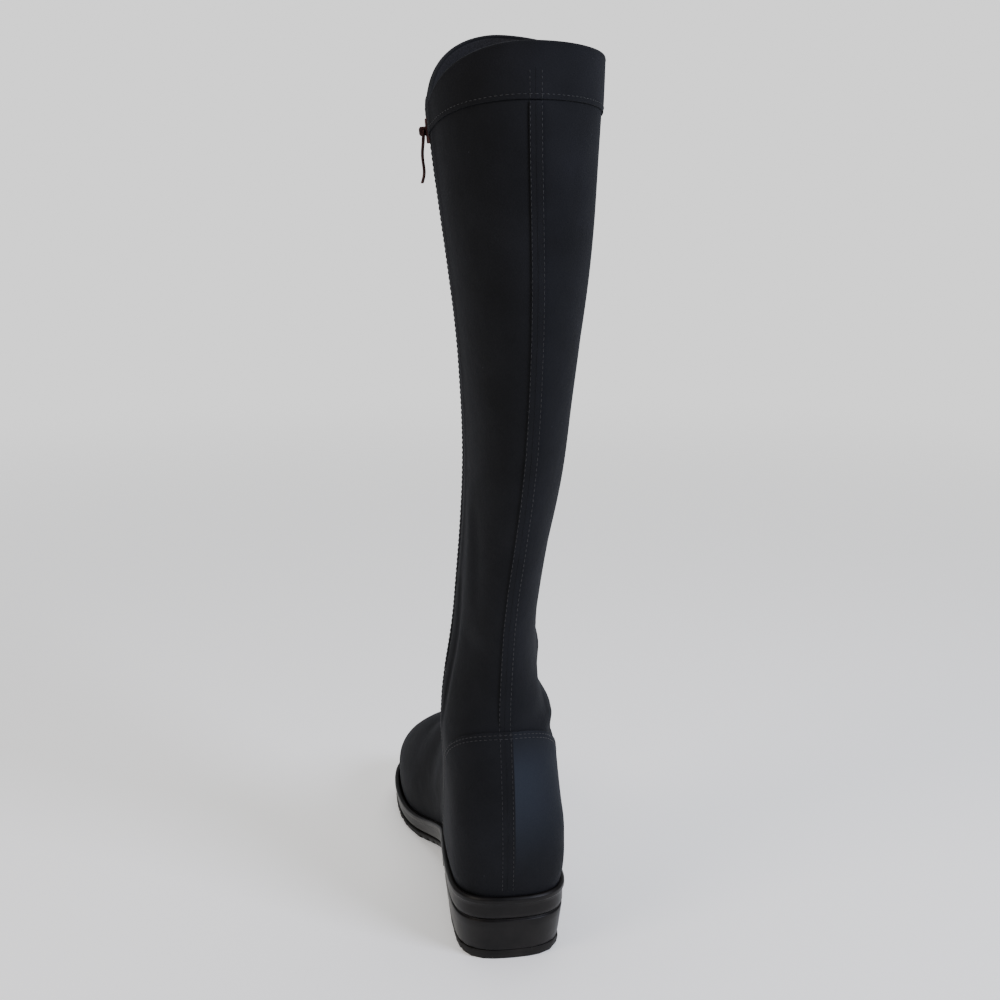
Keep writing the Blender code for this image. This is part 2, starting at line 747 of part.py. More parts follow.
def tread(y):
    """Height of the underside of the forefoot and the waist, flat where the ball stands."""
    return max(0.0, bed(y) - FORE_THICKNESS - TREAD_FLAT)


def make_rand():
    face = LIP_CLEARANCE + BAND_OUT
    rings = [(LIP_CLEARANCE, lambda x, y: bed(y) - BED_GAP),
             (LIP_CLEARANCE, lambda x, y: bed(y) + LIP_HEIGHT),
             (face, lambda x, y: bed(y) + LIP_HEIGHT),
             (face + BEAD, lambda x, y: bed(y) + LIP_HEIGHT / 2),
             (face + BEAD, lambda x, y: bed(y) - BEAD),
             (face, lambda x, y: bed(y) - 2 * BEAD),
             (face, lambda x, y: rand_bottom(y) + GROOVE_INSET),
             (face - GROOVE_INSET, lambda x, y: rand_bottom(y))]
    mesh = stack([loop_of(sole_ring(out), height) for out, height in rings])
    new_object("sole_rand", mesh, RUBBER, 0.5)


def grooves(name, places, depth, height):
    """A cutter of straight bars across the tread, each cut to a depth above the tread's own height there."""
    mesh = bmesh.new()
    for y in places:
        low = height(y) - depth
        bar = Matrix.Translation((0, y, low + depth)) @ Matrix.Diagonal((2 * BALL_WIDTH, LUG_GAP, 2 * depth, 1))
        bmesh.ops.create_cube(mesh, size=1.0, matrix=bar)
    cutter = new_object(name, mesh, RUBBER)
    hide(cutter)
    return cutter


def make_outsole():
    face = LIP_CLEARANCE + BAND_OUT
    first = HEEL_BREAST + LUG_GAP
    rings = [(face - GROOVE_INSET, lambda x, y: rand_bottom(y) - SEAT_GAP),
             (face, lambda x, y: rand_bottom(y) - SEAT_GAP - GROOVE_HEIGHT / 2),
             (face, lambda x, y: tread(y) + GROOVE_HEIGHT),
             (face - GROOVE_HEIGHT, lambda x, y: tread(y))]
    mesh = stack([loop_of(sole_ring(out, start=first), height) for out, height in rings])
    outsole = new_object("outsole", mesh, RUBBER, 0.6)
    start = HEEL_BACK + SOLE_LENGTH * TREAD_SHARES[0]
    end = HEEL_BACK + SOLE_LENGTH * TREAD_SHARES[1]
    count = int((end - start) / LUG_PITCH) + 1
    places = [start + LUG_PITCH * step for step in range(count)]
    combine(outsole, grooves("tread_grooves", places, LUG_DEPTH, tread), "DIFFERENCE")


def heel_loop(out, height):
    """A level loop of the heel, narrowing from the rand down to the tread."""
    down = 1 - height / rand_bottom(0.0)
    across = mix(1.0, HEEL_TREAD_SHARE, down)
    along = mix(1.0, HEEL_BACK_SHARE, down)
    sides = [[(x * across, y * along) for x, y in side] for side in sole_ring(out, end=HEEL_BREAST)]
    return loop_of(sides, lambda x, y: height)


def make_heel():
    face = LIP_CLEARANCE + BAND_OUT
    inset = face - GROOVE_INSET
    top = loop_of(sole_ring(inset, end=HEEL_BREAST), lambda x, y: rand_bottom(y) - SEAT_GAP)
    neck = rand_bottom(HEEL_BREAST) - SEAT_GAP - GROOVE_HEIGHT
    rings = [top, heel_loop(inset, neck), heel_loop(face, neck - GROOVE_HEIGHT / 2),
             heel_loop(face, HEEL_TOP_PIECE + GROOVE_HEIGHT / 2), heel_loop(face - SEAT_GAP, HEEL_TOP_PIECE)]
    new_object("heel_block", stack(rings), RUBBER, 0.5)
    low = HEEL_TOP_PIECE - SEAT_GAP
    rings = [heel_loop(face - SEAT_GAP, low), heel_loop(face, low - GROOVE_HEIGHT / 2),
             heel_loop(face, GROOVE_HEIGHT), heel_loop(face - GROOVE_HEIGHT / 2, 0.0)]
    piece = new_object("heel_top_piece", stack(rings), RUBBER, 0.65)
    places = [step * LUG_PITCH for step in (-1.5, -0.5, 0.5, 1.5)]
    combine(piece, grooves("heel_grooves", places, LUG_DEPTH, lambda y: 0.0), "DIFFERENCE")


def make_insole():
    inset = -(WALL + INSOLE_CLEARANCE)
    rings = [(inset, lambda x, y: bed(y) + INSOLE_THICKNESS), (inset, lambda x, y: bed(y))]
    mesh = stack([loop_of(sole_ring(out), height) for out, height in rings])
    new_object("insole", mesh, TAPE, 0.9)


def slider_frame():
    """Where the slider lies: across the zip, up along it and out from the skin."""
    level = collar(-ZIP_AT_TOP) - SLIDER_DROP
    girth = zip_girth(level)
    out = outward(level, girth)
    up = (skin(level + SLIDER_LENGTH / 2, girth) - skin(level - SLIDER_LENGTH / 2, girth)).normalized()
    out = (out - up * out.dot(up)).normalized()
    return skin(level, girth), up.cross(out), up, out


def turned(across, up, out, spot):
    """The matrix that places a piece drawn across (X), up (Y) and out (Z)."""
    frame = Matrix((across, up, out)).transposed().to_4x4()
    frame.translation = spot
    return frame


def make_slider():
    spot, across, up, out = slider_frame()
    half, tall = SLIDER_WIDTH / 2, SLIDER_LENGTH / 2
    outline = [(half * corner.across, tall * corner.up) for corner in SLIDER_OUTLINE]
    outline += [(-x, y) for x, y in reversed(outline)]
    mesh = prism(outline, 0.0, SLIDER_THICKNESS)
    rim = [edge for edge in mesh.edges if all(vertex.co.z > SLIDER_THICKNESS / 2 for vertex in edge.verts)]
    bmesh.ops.bevel(mesh, geom=rim, offset=BRIDGE_BAR / 2, segments=2, profile=0.5, affect="EDGES", material=-1)
    mesh.transform(turned(across, up, out, spot))
    slider = new_object("zip_slider", mesh, METAL, 0.35, 1.0)
    reach = BRIDGE_LENGTH / 2
    crown = SLIDER_THICKNESS + BRIDGE_HEIGHT
    foot = SLIDER_THICKNESS / 2
    corner = crown - BRIDGE_CORNER
    hoop = [(-reach, foot), (-reach + BRIDGE_BAR, foot), (-reach + BRIDGE_BAR, crown - BRIDGE_BAR),
            (reach - BRIDGE_BAR, crown - BRIDGE_BAR), (reach - BRIDGE_BAR, foot), (reach, foot),
            (reach, corner), (reach - BRIDGE_BAR, crown), (-reach + BRIDGE_BAR, crown), (-reach, corner)]
    mesh = prism(hoop, -BRIDGE_WIDTH / 2, BRIDGE_WIDTH / 2)
    mesh.transform(turned(up, out, across, spot))
    bridge = new_object("bridge_shape", mesh, METAL)
    hide(bridge)
    combine(slider, bridge, "UNION", solver="MANIFOLD")


def pull_pin():
    """The hinge of the pull tab: a point inside the bridge, the outward direction there and the axis."""
    spot, _, _, out = slider_frame()
    level_out = Vector((out.x, out.y, 0.0)).normalized()
    pin = spot + out * (SLIDER_THICKNESS + BRIDGE_HEIGHT / 2 - BRIDGE_BAR / 2)
    return pin, level_out, level_out.cross(Vector((0, 0, 1)))


def make_pull():
    """The pull tab hangs straight down; its eye goes round the bridge."""
    pin, level_out, axis = pull_pin()
    half = PULL_THICKNESS / 2
    eye = BRIDGE_WIDTH / 2 + PULL_CLEARANCE
    bar = PULL_BAR / 2
    rows = [(bar * row.down, 0.0, row.wide, row.thick) for row in PULL_HEAD]
    rows.append((bar + PULL_EYE_LENGTH, 0.0, 1.0, 1.0))
    rows += [(bend.down * PULL_LENGTH, bend.out * PULL_THICKNESS, bend.wide, 1.0) for bend in PULL_BENDS[1:]]
    fronts = []
    backs = []
    for down, away, wide, thick in rows:
        edge = PULL_WIDTH / 2 * wide
        front = []
        back = []
        for x in (-edge, -eye, eye, edge):
            middle = pin - axis * x - Vector((0, 0, down)) + level_out * away
            front.append(middle + level_out * half * thick)
            back.append(middle - level_out * half * thick)
        fronts.append(front)
        backs.append(back)
    mesh = shell(backs, fronts, missing=[(len(PULL_HEAD) - 1, 1)])
    mesh.transform(Matrix.Translation(-pin))
    pull = new_object("zip_pull", mesh, METAL, 0.35, 1.0)
    pull.location = pin


def main():
    for thing in list(bpy.data.objects):
        bpy.data.objects.remove(thing)
    make_upper()
    make_counter()
    make_hem()
    make_back_seam()
    make_zip_strips()
    make_slider()
    make_pull()
    make_insole()
    make_rand()
    make_outsole()
    make_heel()


main()
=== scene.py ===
"""The looks of a right knee-high boot: brushed stretch cloth, an inner side zip and a moulded rubber sole."""
from __future__ import annotations

import json
import logging
import math
from dataclasses import dataclass, field
from enum import Enum
from typing import Any, Iterable, Optional, Sequence

import bmesh
import bpy
import numpy as np
from mathutils import Matrix, Vector, noise
from mathutils.bvhtree import BVHTree
from mathutils.kdtree import KDTree

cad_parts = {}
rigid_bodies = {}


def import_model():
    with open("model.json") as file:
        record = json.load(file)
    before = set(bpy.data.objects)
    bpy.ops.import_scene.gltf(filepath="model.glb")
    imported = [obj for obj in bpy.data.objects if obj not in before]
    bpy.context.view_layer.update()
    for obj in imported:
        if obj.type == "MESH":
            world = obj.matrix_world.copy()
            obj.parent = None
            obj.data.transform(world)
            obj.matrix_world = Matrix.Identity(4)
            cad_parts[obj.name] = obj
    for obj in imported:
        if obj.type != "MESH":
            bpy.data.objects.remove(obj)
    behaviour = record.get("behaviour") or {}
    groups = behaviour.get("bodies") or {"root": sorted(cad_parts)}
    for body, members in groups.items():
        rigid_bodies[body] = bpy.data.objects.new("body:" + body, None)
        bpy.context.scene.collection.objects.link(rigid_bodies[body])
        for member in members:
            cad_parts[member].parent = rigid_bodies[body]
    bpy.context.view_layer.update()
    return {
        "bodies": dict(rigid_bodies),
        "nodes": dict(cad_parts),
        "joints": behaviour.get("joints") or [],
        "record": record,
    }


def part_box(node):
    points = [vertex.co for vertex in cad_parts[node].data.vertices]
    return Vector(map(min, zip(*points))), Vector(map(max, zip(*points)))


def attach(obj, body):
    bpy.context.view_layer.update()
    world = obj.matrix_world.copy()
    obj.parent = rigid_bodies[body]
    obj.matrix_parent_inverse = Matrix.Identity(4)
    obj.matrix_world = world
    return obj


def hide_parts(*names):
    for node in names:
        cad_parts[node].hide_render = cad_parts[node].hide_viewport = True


LOG = logging.getLogger("boot")
MM = 0.001
MERGE_DISTANCE = 0.01 * MM
NOISE = "ShaderNodeTexNoise"
MULTIPLY = {"operation": "MULTIPLY"}
SMOOTH = {"interpolation_type": "SMOOTHSTEP"}
COLOURS = {"data_type": "RGBA"}


class Body(Enum):
    """The bodies that a piece can ride on."""

    BOOT = "boot"
    PULL = "pull"


class Slot(Enum):
    """The record's material slots that new pieces take their finish from."""

    FABRIC = "fabric"
    ZIP_COIL = "zip_coil"
    METAL = "metal"
    RUBBER = "rubber"


def linear(colour: str, alpha: float = 1.0) -> tuple[float, float, float, float]:
    """Turns an sRGB hex colour to linear values.

    Args:
        colour: Six hex digits.
        alpha: The fourth value.

    Returns:
        Linear red, green, blue and alpha.
    """
    parts = [int(colour[place:place + 2], 16) / 255 for place in (0, 2, 4)]
    red, green, blue = [part / 12.92 if part <= 0.04045 else ((part + 0.055) / 1.055) ** 2.4
                        for part in parts]
    return red, green, blue, alpha


def scale_for(size_mm: float) -> float:
    """A texture's scale for the real size of its pattern in millimetres."""
    return 1 / (size_mm * MM)


def fill(tree: bpy.types.NodeTree, node: bpy.types.Node, **links: Any) -> None:
    """Gives a node's inputs their values and links.

    Args:
        tree: The node tree.
        node: The node.
        links: Values or output sockets for its inputs. A key is the input's name with _ for a blank, or its
            number after an n.
    """
    for name, value in links.items():
        socket = node.inputs[int(name[1:]) if name[1:].isdigit() else name.replace("_", " ")]
        if isinstance(value, bpy.types.NodeSocket):
            tree.links.new(value, socket)
        else:
            socket.default_value = value


def add(tree: bpy.types.NodeTree, kind: str, settings: Optional[dict[str, Any]] = None,
        **links: Any) -> bpy.types.Node:
    """Adds one node to a tree.

    Args:
        tree: The node tree.
        kind: The node's type name.
        settings: Properties of the node, such as operation.
        links: Values or output sockets for its inputs, named as fill takes them.

    Returns:
        The new node.
    """
    node = tree.nodes.new(kind)
    for name, value in (settings or {}).items():
        setattr(node, name, value)
    fill(tree, node, **links)
    return node


def new_material(name: str) -> tuple[bpy.types.Material, bpy.types.NodeTree, bpy.types.Node,
                                     bpy.types.NodeSocket]:
    """Starts a material with its Principled shader linked to the output.

    Args:
        name: The material's name.

    Returns:
        The material, its node tree, the shader and the object coordinates.
    """
    material = bpy.data.materials.new(name)
    material.use_nodes = True
    tree = material.node_tree
    place = add(tree, "ShaderNodeTexCoord").outputs["Object"]
    return material, tree, tree.nodes["Principled BSDF"], place


def ramp(tree: bpy.types.NodeTree, factor: bpy.types.NodeSocket, places: Sequence[float],
         colours: Sequence[str]) -> bpy.types.NodeSocket:
    """Adds a colour ramp with two stops.

    Args:
        tree: The material's node tree.
        factor: What drives the ramp.
        places: Where the stops stand.
        colours: Their sRGB hex colours.

    Returns:
        The ramp's colour output.
    """
    node = add(tree, "ShaderNodeValToRGB", Fac=factor)
    for element, place, colour in zip(node.color_ramp.elements, places, colours):
        element.position = place
        element.color = linear(colour)
    return node.outputs["Color"]


@dataclass(frozen=True)
class PaintedSheen:
    """A painted sheen: a lighter, cooler colour laid over the outer half of a panel beside its seam, standing
    in for light that the cloth catches there. It fades away from the seam, and towards the bottom and the
    top.
    """

    seam_x: float = 0.0010
    seam_width: float = 0.0006
    fade_x: float = 0.034
    fade_share: float = 0.35
    low_z: float = 0.046
    high_z: float = 0.104
    fall_z: float = 0.110
    top_z: float = 0.134
    top_share: float = 0.25
    # Colour of the painted sheen.
    colour: str = "22272F"

    def over(self, tree: bpy.types.NodeTree, place: bpy.types.NodeSocket,
             cloth: bpy.types.NodeSocket) -> bpy.types.NodeSocket:
        """Lays the painted sheen, a lighter half, over a cloth's colour.

        Args:
            tree: The material's node tree.
            place: The object coordinates.
            cloth: The cloth's colour.

        Returns:
            The colour of both halves.
        """
        parts = add(tree, "ShaderNodeSeparateXYZ", Vector=place)
        x, z = parts.outputs["X"], parts.outputs["Z"]
        amount = add(tree, "ShaderNodeMapRange", SMOOTH, Value=x, n1=self.seam_x,
                     n2=self.seam_x + self.seam_width)
        fade = add(tree, "ShaderNodeMapRange", SMOOTH, Value=x, n1=self.seam_x, n2=self.fade_x, n3=1.0,
                   n4=self.fade_share)
        rise = add(tree, "ShaderNodeMapRange", SMOOTH, Value=z, n1=self.low_z, n2=self.high_z)
        fall = add(tree, "ShaderNodeMapRange", SMOOTH, Value=z, n1=self.fall_z, n2=self.top_z, n3=1.0,
                   n4=self.top_share)
        for factor in (fade, fall, rise):
            amount = add(tree, "ShaderNodeMath", MULTIPLY, n0=amount.outputs[0], n1=factor.outputs[0])
        # Painted sheen: the lighter, cooler colour is mixed in where light would catch this half.
        mixed = add(tree, "ShaderNodeMix", COLOURS, n0=amount.outputs[0], n6=cloth, n7=linear(self.colour))
        return mixed.outputs[2]


@dataclass(frozen=True)
class BrushedStretchCloth:
    """Black polyester microfibre with elastane, knitted, brushed and singed. The short nap takes away every
    gloss and gives a faint cool bloom where the cloth turns away; loose fibres lie on it. Nap and knit are
    drawn coarser than the real ones, so that they show."""

    name: str = "brushed_stretch_cloth"
    deep: str = "0A0B0D"
    worn: str = "17181C"
    lint: str = "3A3C42"
    nap_mm: float = 0.55
    nap_depth_mm: float = 0.16
    nap_tone: tuple[float, float] = (0.45, 0.28)
    knit_mm: float = 1.1
    cloud_mm: float = 38.0
    cloud_stops: tuple[float, float] = (0.12, 0.42)
    slack_mm: float = 11.0
    slack_depth_mm: float = 0.7
    lint_mm: float = 7.0
    lint_size: float = 0.035
    lint_free: float = 0.72
    roughness: float = 0.88
    specular: float = 0.17
    sheen: float = 0.05
    sheen_roughness: float = 0.45
    sheen_colour: str = "A3A9B8"
    # A painted sheen on one half of a panel, laid over the colour when given.
    turned: Optional[PaintedSheen] = None

    def material(self) -> bpy.types.Material:
        """Builds the cloth's material.

        Returns:
            The material.
        """
        material, tree, shader, place = new_material(self.name)
        cloud = add(tree, NOISE, Vector=place, Scale=scale_for(self.cloud_mm), Detail=4.0)
        nap = add(tree, NOISE, Vector=place, Scale=scale_for(self.nap_mm), Detail=3.0, Roughness=0.65)
        tone = add(tree, "ShaderNodeMath", {"operation": "MULTIPLY_ADD"}, n0=nap.outputs["Fac"],
                   n1=self.nap_tone[0], n2=self.nap_tone[1])
        mixed = add(tree, "ShaderNodeMath", MULTIPLY, n0=tone.outputs[0], n1=cloud.outputs["Fac"])
        cloth = ramp(tree, mixed.outputs[0], self.cloud_stops, (self.deep, self.worn))
        cells = add(tree, "ShaderNodeTexVoronoi", {"feature": "F1"}, Vector=place,
                    Scale=scale_for(self.lint_mm))
        speck = add(tree, "ShaderNodeMath", {"operation": "LESS_THAN"}, n0=cells.outputs["Distance"],
                    n1=self.lint_size)
        rare = add(tree, "ShaderNodeSeparateColor", Color=cells.outputs["Color"])
        chosen = add(tree, "ShaderNodeMath", {"operation": "GREATER_THAN"}, n0=rare.outputs[0],
                     n1=self.lint_free)
        lint = add(tree, "ShaderNodeMath", MULTIPLY, n0=speck.outputs[0], n1=chosen.outputs[0])
        tinted = add(tree, "ShaderNodeMix", COLOURS, n0=lint.outputs[0], n6=cloth, n7=linear(self.lint))
        shown = tinted.outputs[2]
        # Painted sheen over the colour, when the cloth carries one.
        if self.turned:
            shown = self.turned.over(tree, place, shown)
        knit = add(tree, "ShaderNodeTexVoronoi", {"feature": "SMOOTH_F1"}, Vector=place,
                   Scale=scale_for(self.knit_mm))
        height = add(tree, "ShaderNodeMath", {"operation": "ADD"}, n0=nap.outputs["Fac"],
                     n1=knit.outputs["Distance"])
        bump = add(tree, "ShaderNodeBump", Strength=0.5, Distance=self.nap_depth_mm * MM,
                   Height=height.outputs[0])
        slack = add(tree, NOISE, Vector=place, Scale=scale_for(self.slack_mm), Detail=2.0)
        soft = add(tree, "ShaderNodeBump", Strength=0.5, Distance=self.slack_depth_mm * MM,
                   Height=slack.outputs["Fac"], Normal=bump.outputs["Normal"])
        fill(tree, shader, Base_Color=shown, Normal=soft.outputs["Normal"], Roughness=self.roughness,
             Specular_IOR_Level=self.specular, Sheen_Weight=self.sheen, Sheen_Roughness=self.sheen_roughness,
             Sheen_Tint=linear(self.sheen_colour))
        return material


@dataclass(frozen=True)
class FeltedLining:
    """Needled black polyester felt. Its matted fibres look duller and greyer than the outer cloth."""

    name: str = "felted_lining"
    deep: str = "141414"
    light: str = "2B2B2E"
    fibre_mm: float = 0.8
    fibre_depth_mm: float = 0.2

    def material(self) -> bpy.types.Material:
        """Builds the lining's material.

        Returns:
            The material.
        """
        material, tree, shader, place = new_material(self.name)
        fibre = add(tree, NOISE, Vector=place, Scale=scale_for(self.fibre_mm), Detail=5.0, Distortion=1.6)
        tone = ramp(tree, fibre.outputs["Fac"], (0.35, 0.7), (self.deep, self.light))
        bump = add(tree, "ShaderNodeBump", Strength=0.6, Distance=self.fibre_depth_mm * MM,
                   Height=fibre.outputs["Fac"])
        fill(tree, shader, Base_Color=tone, Normal=bump.outputs["Normal"], Roughness=0.95,
             Specular_IOR_Level=0.2)
        return material


@dataclass(frozen=True)
class WovenTape:
    """Woven polyester zip tape. Fine herringbone ribs run along it and catch a dull line of light."""

    name: str = "woven_zip_tape"
    deep: str = "0E0E10"
    light: str = "232327"
    rib_mm: float = 0.9
    rib_depth_mm: float = 0.15
    rib_slant: float = 24.0

    def material(self) -> bpy.types.Material:
        """Builds the tape's material.

        Returns:
            The material.
        """
        material, tree, shader, place = new_material(self.name)
        turned = add(tree, "ShaderNodeMapping", Vector=place,
                     Rotation=(0.0, math.radians(self.rib_slant), 0.0))
        ribs = add(tree, "ShaderNodeTexWave", {"bands_direction": "Z"}, Vector=turned.outputs["Vector"],
                   Scale=scale_for(self.rib_mm) / math.pi, Distortion=0.6, Detail=1.0)
        tone = ramp(tree, ribs.outputs["Fac"], (0.2, 0.8), (self.deep, self.light))
        bump = add(tree, "ShaderNodeBump", Strength=0.7, Distance=self.rib_depth_mm * MM,
                   Height=ribs.outputs["Fac"])
        fill(tree, shader, Base_Color=tone, Normal=bump.outputs["Normal"], Roughness=0.8)
        return material


@dataclass(frozen=True)
class DrawnNylon:
    """Black nylon monofilament, drawn and heat-set to a coil. Its smooth turns give small sharp lights."""

    name: str = "drawn_nylon_coil"
    deep: str = "17171A"
    light: str = "222226"
    haze_mm: float = 2.5
    gloss: tuple[float, float] = (0.28, 0.5)

    def material(self) -> bpy.types.Material:
        """Builds the coil's material.

        Returns:
            The material.
        """
        material, tree, shader, place = new_material(self.name)
        haze = add(tree, NOISE, Vector=place, Scale=scale_for(self.haze_mm), Detail=2.0)
        rough = add(tree, "ShaderNodeMapRange", Value=haze.outputs["Fac"], n3=self.gloss[0],
                    n4=self.gloss[1])
        tone = ramp(tree, haze.outputs["Fac"], (0.3, 0.8), (self.deep, self.light))
        fill(tree, shader, Base_Color=tone, Roughness=rough.outputs[0], IOR=1.53)
        return material


@dataclass(frozen=True)
class SpunThread:
    """Black spun polyester sewing thread. Two plies twisted give a short satin glint on every stitch."""

    name: str = "spun_thread"
    deep: str = "0C0D10"
    light: str = "1A1B1F"
    ply_mm: float = 0.5
    ply_depth_mm: float = 0.1

    def material(self) -> bpy.types.Material:
        """Builds the thread's material.

        Returns:
            The material.
        """
        material, tree, shader, place = new_material(self.name)
        ply = add(tree, NOISE, Vector=place, Scale=scale_for(self.ply_mm), Detail=1.0)
        tone = ramp(tree, ply.outputs["Fac"], (0.3, 0.7), (self.deep, self.light))
        bump = add(tree, "ShaderNodeBump", Strength=0.6, Distance=self.ply_depth_mm * MM,
                   Height=ply.outputs["Fac"])
        fill(tree, shader, Base_Color=tone, Normal=bump.outputs["Normal"], Roughness=0.5)
        return material


@dataclass(frozen=True)
class LacqueredZinc:
    """Die-cast zinc under a dark reddish-brown lacquer. The lacquer gives a soft broad gloss and is thinner,
    so lighter, where fingers rub it."""

    name: str = "lacquered_zinc"
    deep: str = "3A2422"
    rubbed: str = "4B3330"
    patch_mm: float = 4.0
    gloss: tuple[float, float] = (0.25, 0.45)
    metallic: float = 0.85

    def material(self) -> bpy.types.Material:
        """Builds the metal's material.

        Returns:
            The material.
        """
        material, tree, shader, place = new_material(self.name)
        patch = add(tree, NOISE, Vector=place, Scale=scale_for(self.patch_mm), Detail=4.0)
        tone = ramp(tree, patch.outputs["Fac"], (0.42, 0.72), (self.deep, self.rubbed))
        rough = add(tree, "ShaderNodeMapRange", Value=patch.outputs["Fac"], n3=self.gloss[0],
                    n4=self.gloss[1])
        fill(tree, shader, Base_Color=tone, Roughness=rough.outputs[0], Metallic=self.metallic)
        return material


@dataclass(frozen=True)
class MouldedRubber:
    """Black-brown thermoplastic rubber, injection moulded in a spark-eroded steel mould. The mould's fine
    grain breaks the gloss; handling leaves faint dusty smears."""

    name: str = "moulded_rubber"
    deep: str = "0A0909"
    dusty: str = "181615"
    grain_mm: float = 0.7
    grain_depth_mm: float = 0.1
    smear_mm: float = 16.0
    gloss: tuple[float, float] = (0.30, 0.50)
    specular: float = 0.17

    def material(self) -> bpy.types.Material:
        """Builds the rubber's material.

        Returns:
            The material.
        """
        material, tree, shader, place = new_material(self.name)
        smear = add(tree, NOISE, Vector=place, Scale=scale_for(self.smear_mm), Detail=6.0, Roughness=0.62)
        tone = ramp(tree, smear.outputs["Fac"], (0.36, 0.74), (self.deep, self.dusty))
        rough = add(tree, "ShaderNodeMapRange", Value=smear.outputs["Fac"], n3=self.gloss[0],
                    n4=self.gloss[1])
        grain = add(tree, NOISE, Vector=place, Scale=scale_for(self.grain_mm), Detail=2.0)
        bump = add(tree, "ShaderNodeBump", Strength=0.35, Distance=self.grain_depth_mm * MM,
                   Height=grain.outputs["Fac"])
        fill(tree, shader, Base_Color=tone, Roughness=rough.outputs[0], Normal=bump.outputs["Normal"],
             IOR=1.5, Specular_IOR_Level=self.specular)
        return material


@dataclass(frozen=True)
class PaintedFloor:
    """A matt pale studio floor, lit a little from below, that fades out into the backdrop."""

    name: str = "studio_floor"
    dull: str = "EDEDEC"
    colour: str = "F1F1F0"
    cloud_mm: float = 500.0
    glow: float = 0.35
    near: float = 0.45
    far: float = 1.9

    def material(self) -> bpy.types.Material:
        """Builds the floor's material.

        Returns:
            The material.
        """
        material, tree, shader, place = new_material(self.name)
        cloud = add(tree, NOISE, Vector=place, Scale=scale_for(self.cloud_mm), Detail=2.0)
        tone = ramp(tree, cloud.outputs["Fac"], (0.0, 1.0), (self.dull, self.colour))
        fill(tree, shader, Base_Color=tone, Roughness=0.9, Emission_Color=linear(self.colour),
             Emission_Strength=self.glow)
        away = add(tree, "ShaderNodeVectorMath", {"operation": "LENGTH"}, n0=place)
        clear_share = add(tree, "ShaderNodeMapRange", SMOOTH, Value=away.outputs["Value"], n1=self.near,
                          n2=self.far)
        seen_through = add(tree, "ShaderNodeBsdfTransparent")
        mixed = add(tree, "ShaderNodeMixShader", n0=clear_share.outputs[0], n1=shader.outputs[0],
                    n2=seen_through.outputs[0])
        fill(tree, tree.nodes["Material Output"], Surface=mixed.outputs[0])
        return material


@dataclass
class Palette:
    """Every finish of the boot, built once."""

    cloth: bpy.types.Material = field(default_factory=lambda: BrushedStretchCloth().material())
    # The counter panel's cloth, with a painted sheen on its outer half.
    panel: bpy.types.Material = field(default_factory=lambda: BrushedStretchCloth(
        name="sheen_painted_stretch_cloth", turned=PaintedSheen()).material())
    lining: bpy.types.Material = field(default_factory=lambda: FeltedLining().material())
    tape: bpy.types.Material = field(default_factory=lambda: WovenTape().material())
    coil: bpy.types.Material = field(default_factory=lambda: DrawnNylon().material())
    thread: bpy.types.Material = field(default_factory=lambda: SpunThread().material())
    metal: bpy.types.Material = field(default_factory=lambda: LacqueredZinc().material())
    rubber: bpy.types.Material = field(default_factory=lambda: MouldedRubber().material())
    tread: bpy.types.Material = field(default_factory=lambda: MouldedRubber(
        name="ground_rubber", deep="0E0D0C", dusty="211F1D", gloss=(0.5, 0.75)).material())


def node_copy(node: bpy.types.Object) -> bmesh.types.BMesh:
    """Copies a node's mesh, merges its loose triangles and joins them to quads.

    Args:
        node: The frame's object.

    Returns:
        The copy.
    """
    mesh = bmesh.new()
    mesh.from_mesh(node.data)
    bmesh.ops.remove_doubles(mesh, verts=mesh.verts[:], dist=MERGE_DISTANCE)
    for fold, shape in ((20, 20), (40, 40), (70, 90)):
        loose = [face for face in mesh.faces if len(face.verts) == 3]
        bmesh.ops.join_triangles(mesh, faces=loose, angle_face_threshold=math.radians(fold),
                                 angle_shape_threshold=math.radians(shape))
    return mesh


def refined(mesh: bmesh.types.BMesh, levels: int, crease_angle: float = 180.0, crease: float = 0.0,
            ) -> bmesh.types.BMesh:
    """Replaces a mesh by its own subdivision surface.

    Args:
        mesh: The coarse mesh, which is freed.
        levels: How often it is divided.
        crease_angle: Edges that turn more than this many degrees keep some sharpness.
        crease: How sharp they stay, from 0 to 1.

    Returns:
        The fine mesh.
    """
    if crease > 0:
        layer = mesh.edges.layers.float.get("crease_edge") or mesh.edges.layers.float.new("crease_edge")
        for edge in mesh.edges:
            if edge.is_manifold and edge.calc_face_angle() > math.radians(crease_angle):
                edge[layer] = crease
    data = bpy.data.meshes.new("coarse")
    mesh.to_mesh(data)
    mesh.free()
    holder = bpy.data.objects.new("coarse", data)
    bpy.context.scene.collection.objects.link(holder)
    surface = holder.modifiers.new("surface", "SUBSURF")
    surface.levels = levels
    surface.render_levels = levels
    graph = bpy.context.evaluated_depsgraph_get()
    fine = bmesh.new()
    fine.from_object(holder, graph)
    bpy.data.objects.remove(holder)
    bpy.data.meshes.remove(data)
    return fine


def rounded(node: bpy.types.Object, flat: float, turn: float, width: float) -> bmesh.types.BMesh:
    """Copies a node's mesh, makes its flat faces whole and rounds its hard edges.

    Args:
        node: The frame's object.
        flat: Faces that meet at fewer degrees than this are joined.
        turn: Edges that turn more than this many degrees are rounded.
        width: How wide the rounding is.

    Returns:
        The mesh.
    """
    mesh = node_copy(node)
    bmesh.ops.dissolve_limit(mesh, angle_limit=math.radians(flat), verts=mesh.verts[:], edges=mesh.edges[:])
    hard = [edge for edge in mesh.edges if edge.is_manifold and edge.calc_face_angle() > math.radians(turn)]
    bmesh.ops.bevel(mesh, geom=hard, offset=width, segments=2, profile=0.5, affect="EDGES", material=-1)
    return mesh


def dress(node: bpy.types.Object, finish: bpy.types.Material) -> None:
    """Gives a node of the frame its finish."""
    node.data.materials.clear()
    node.data.materials.append(finish)


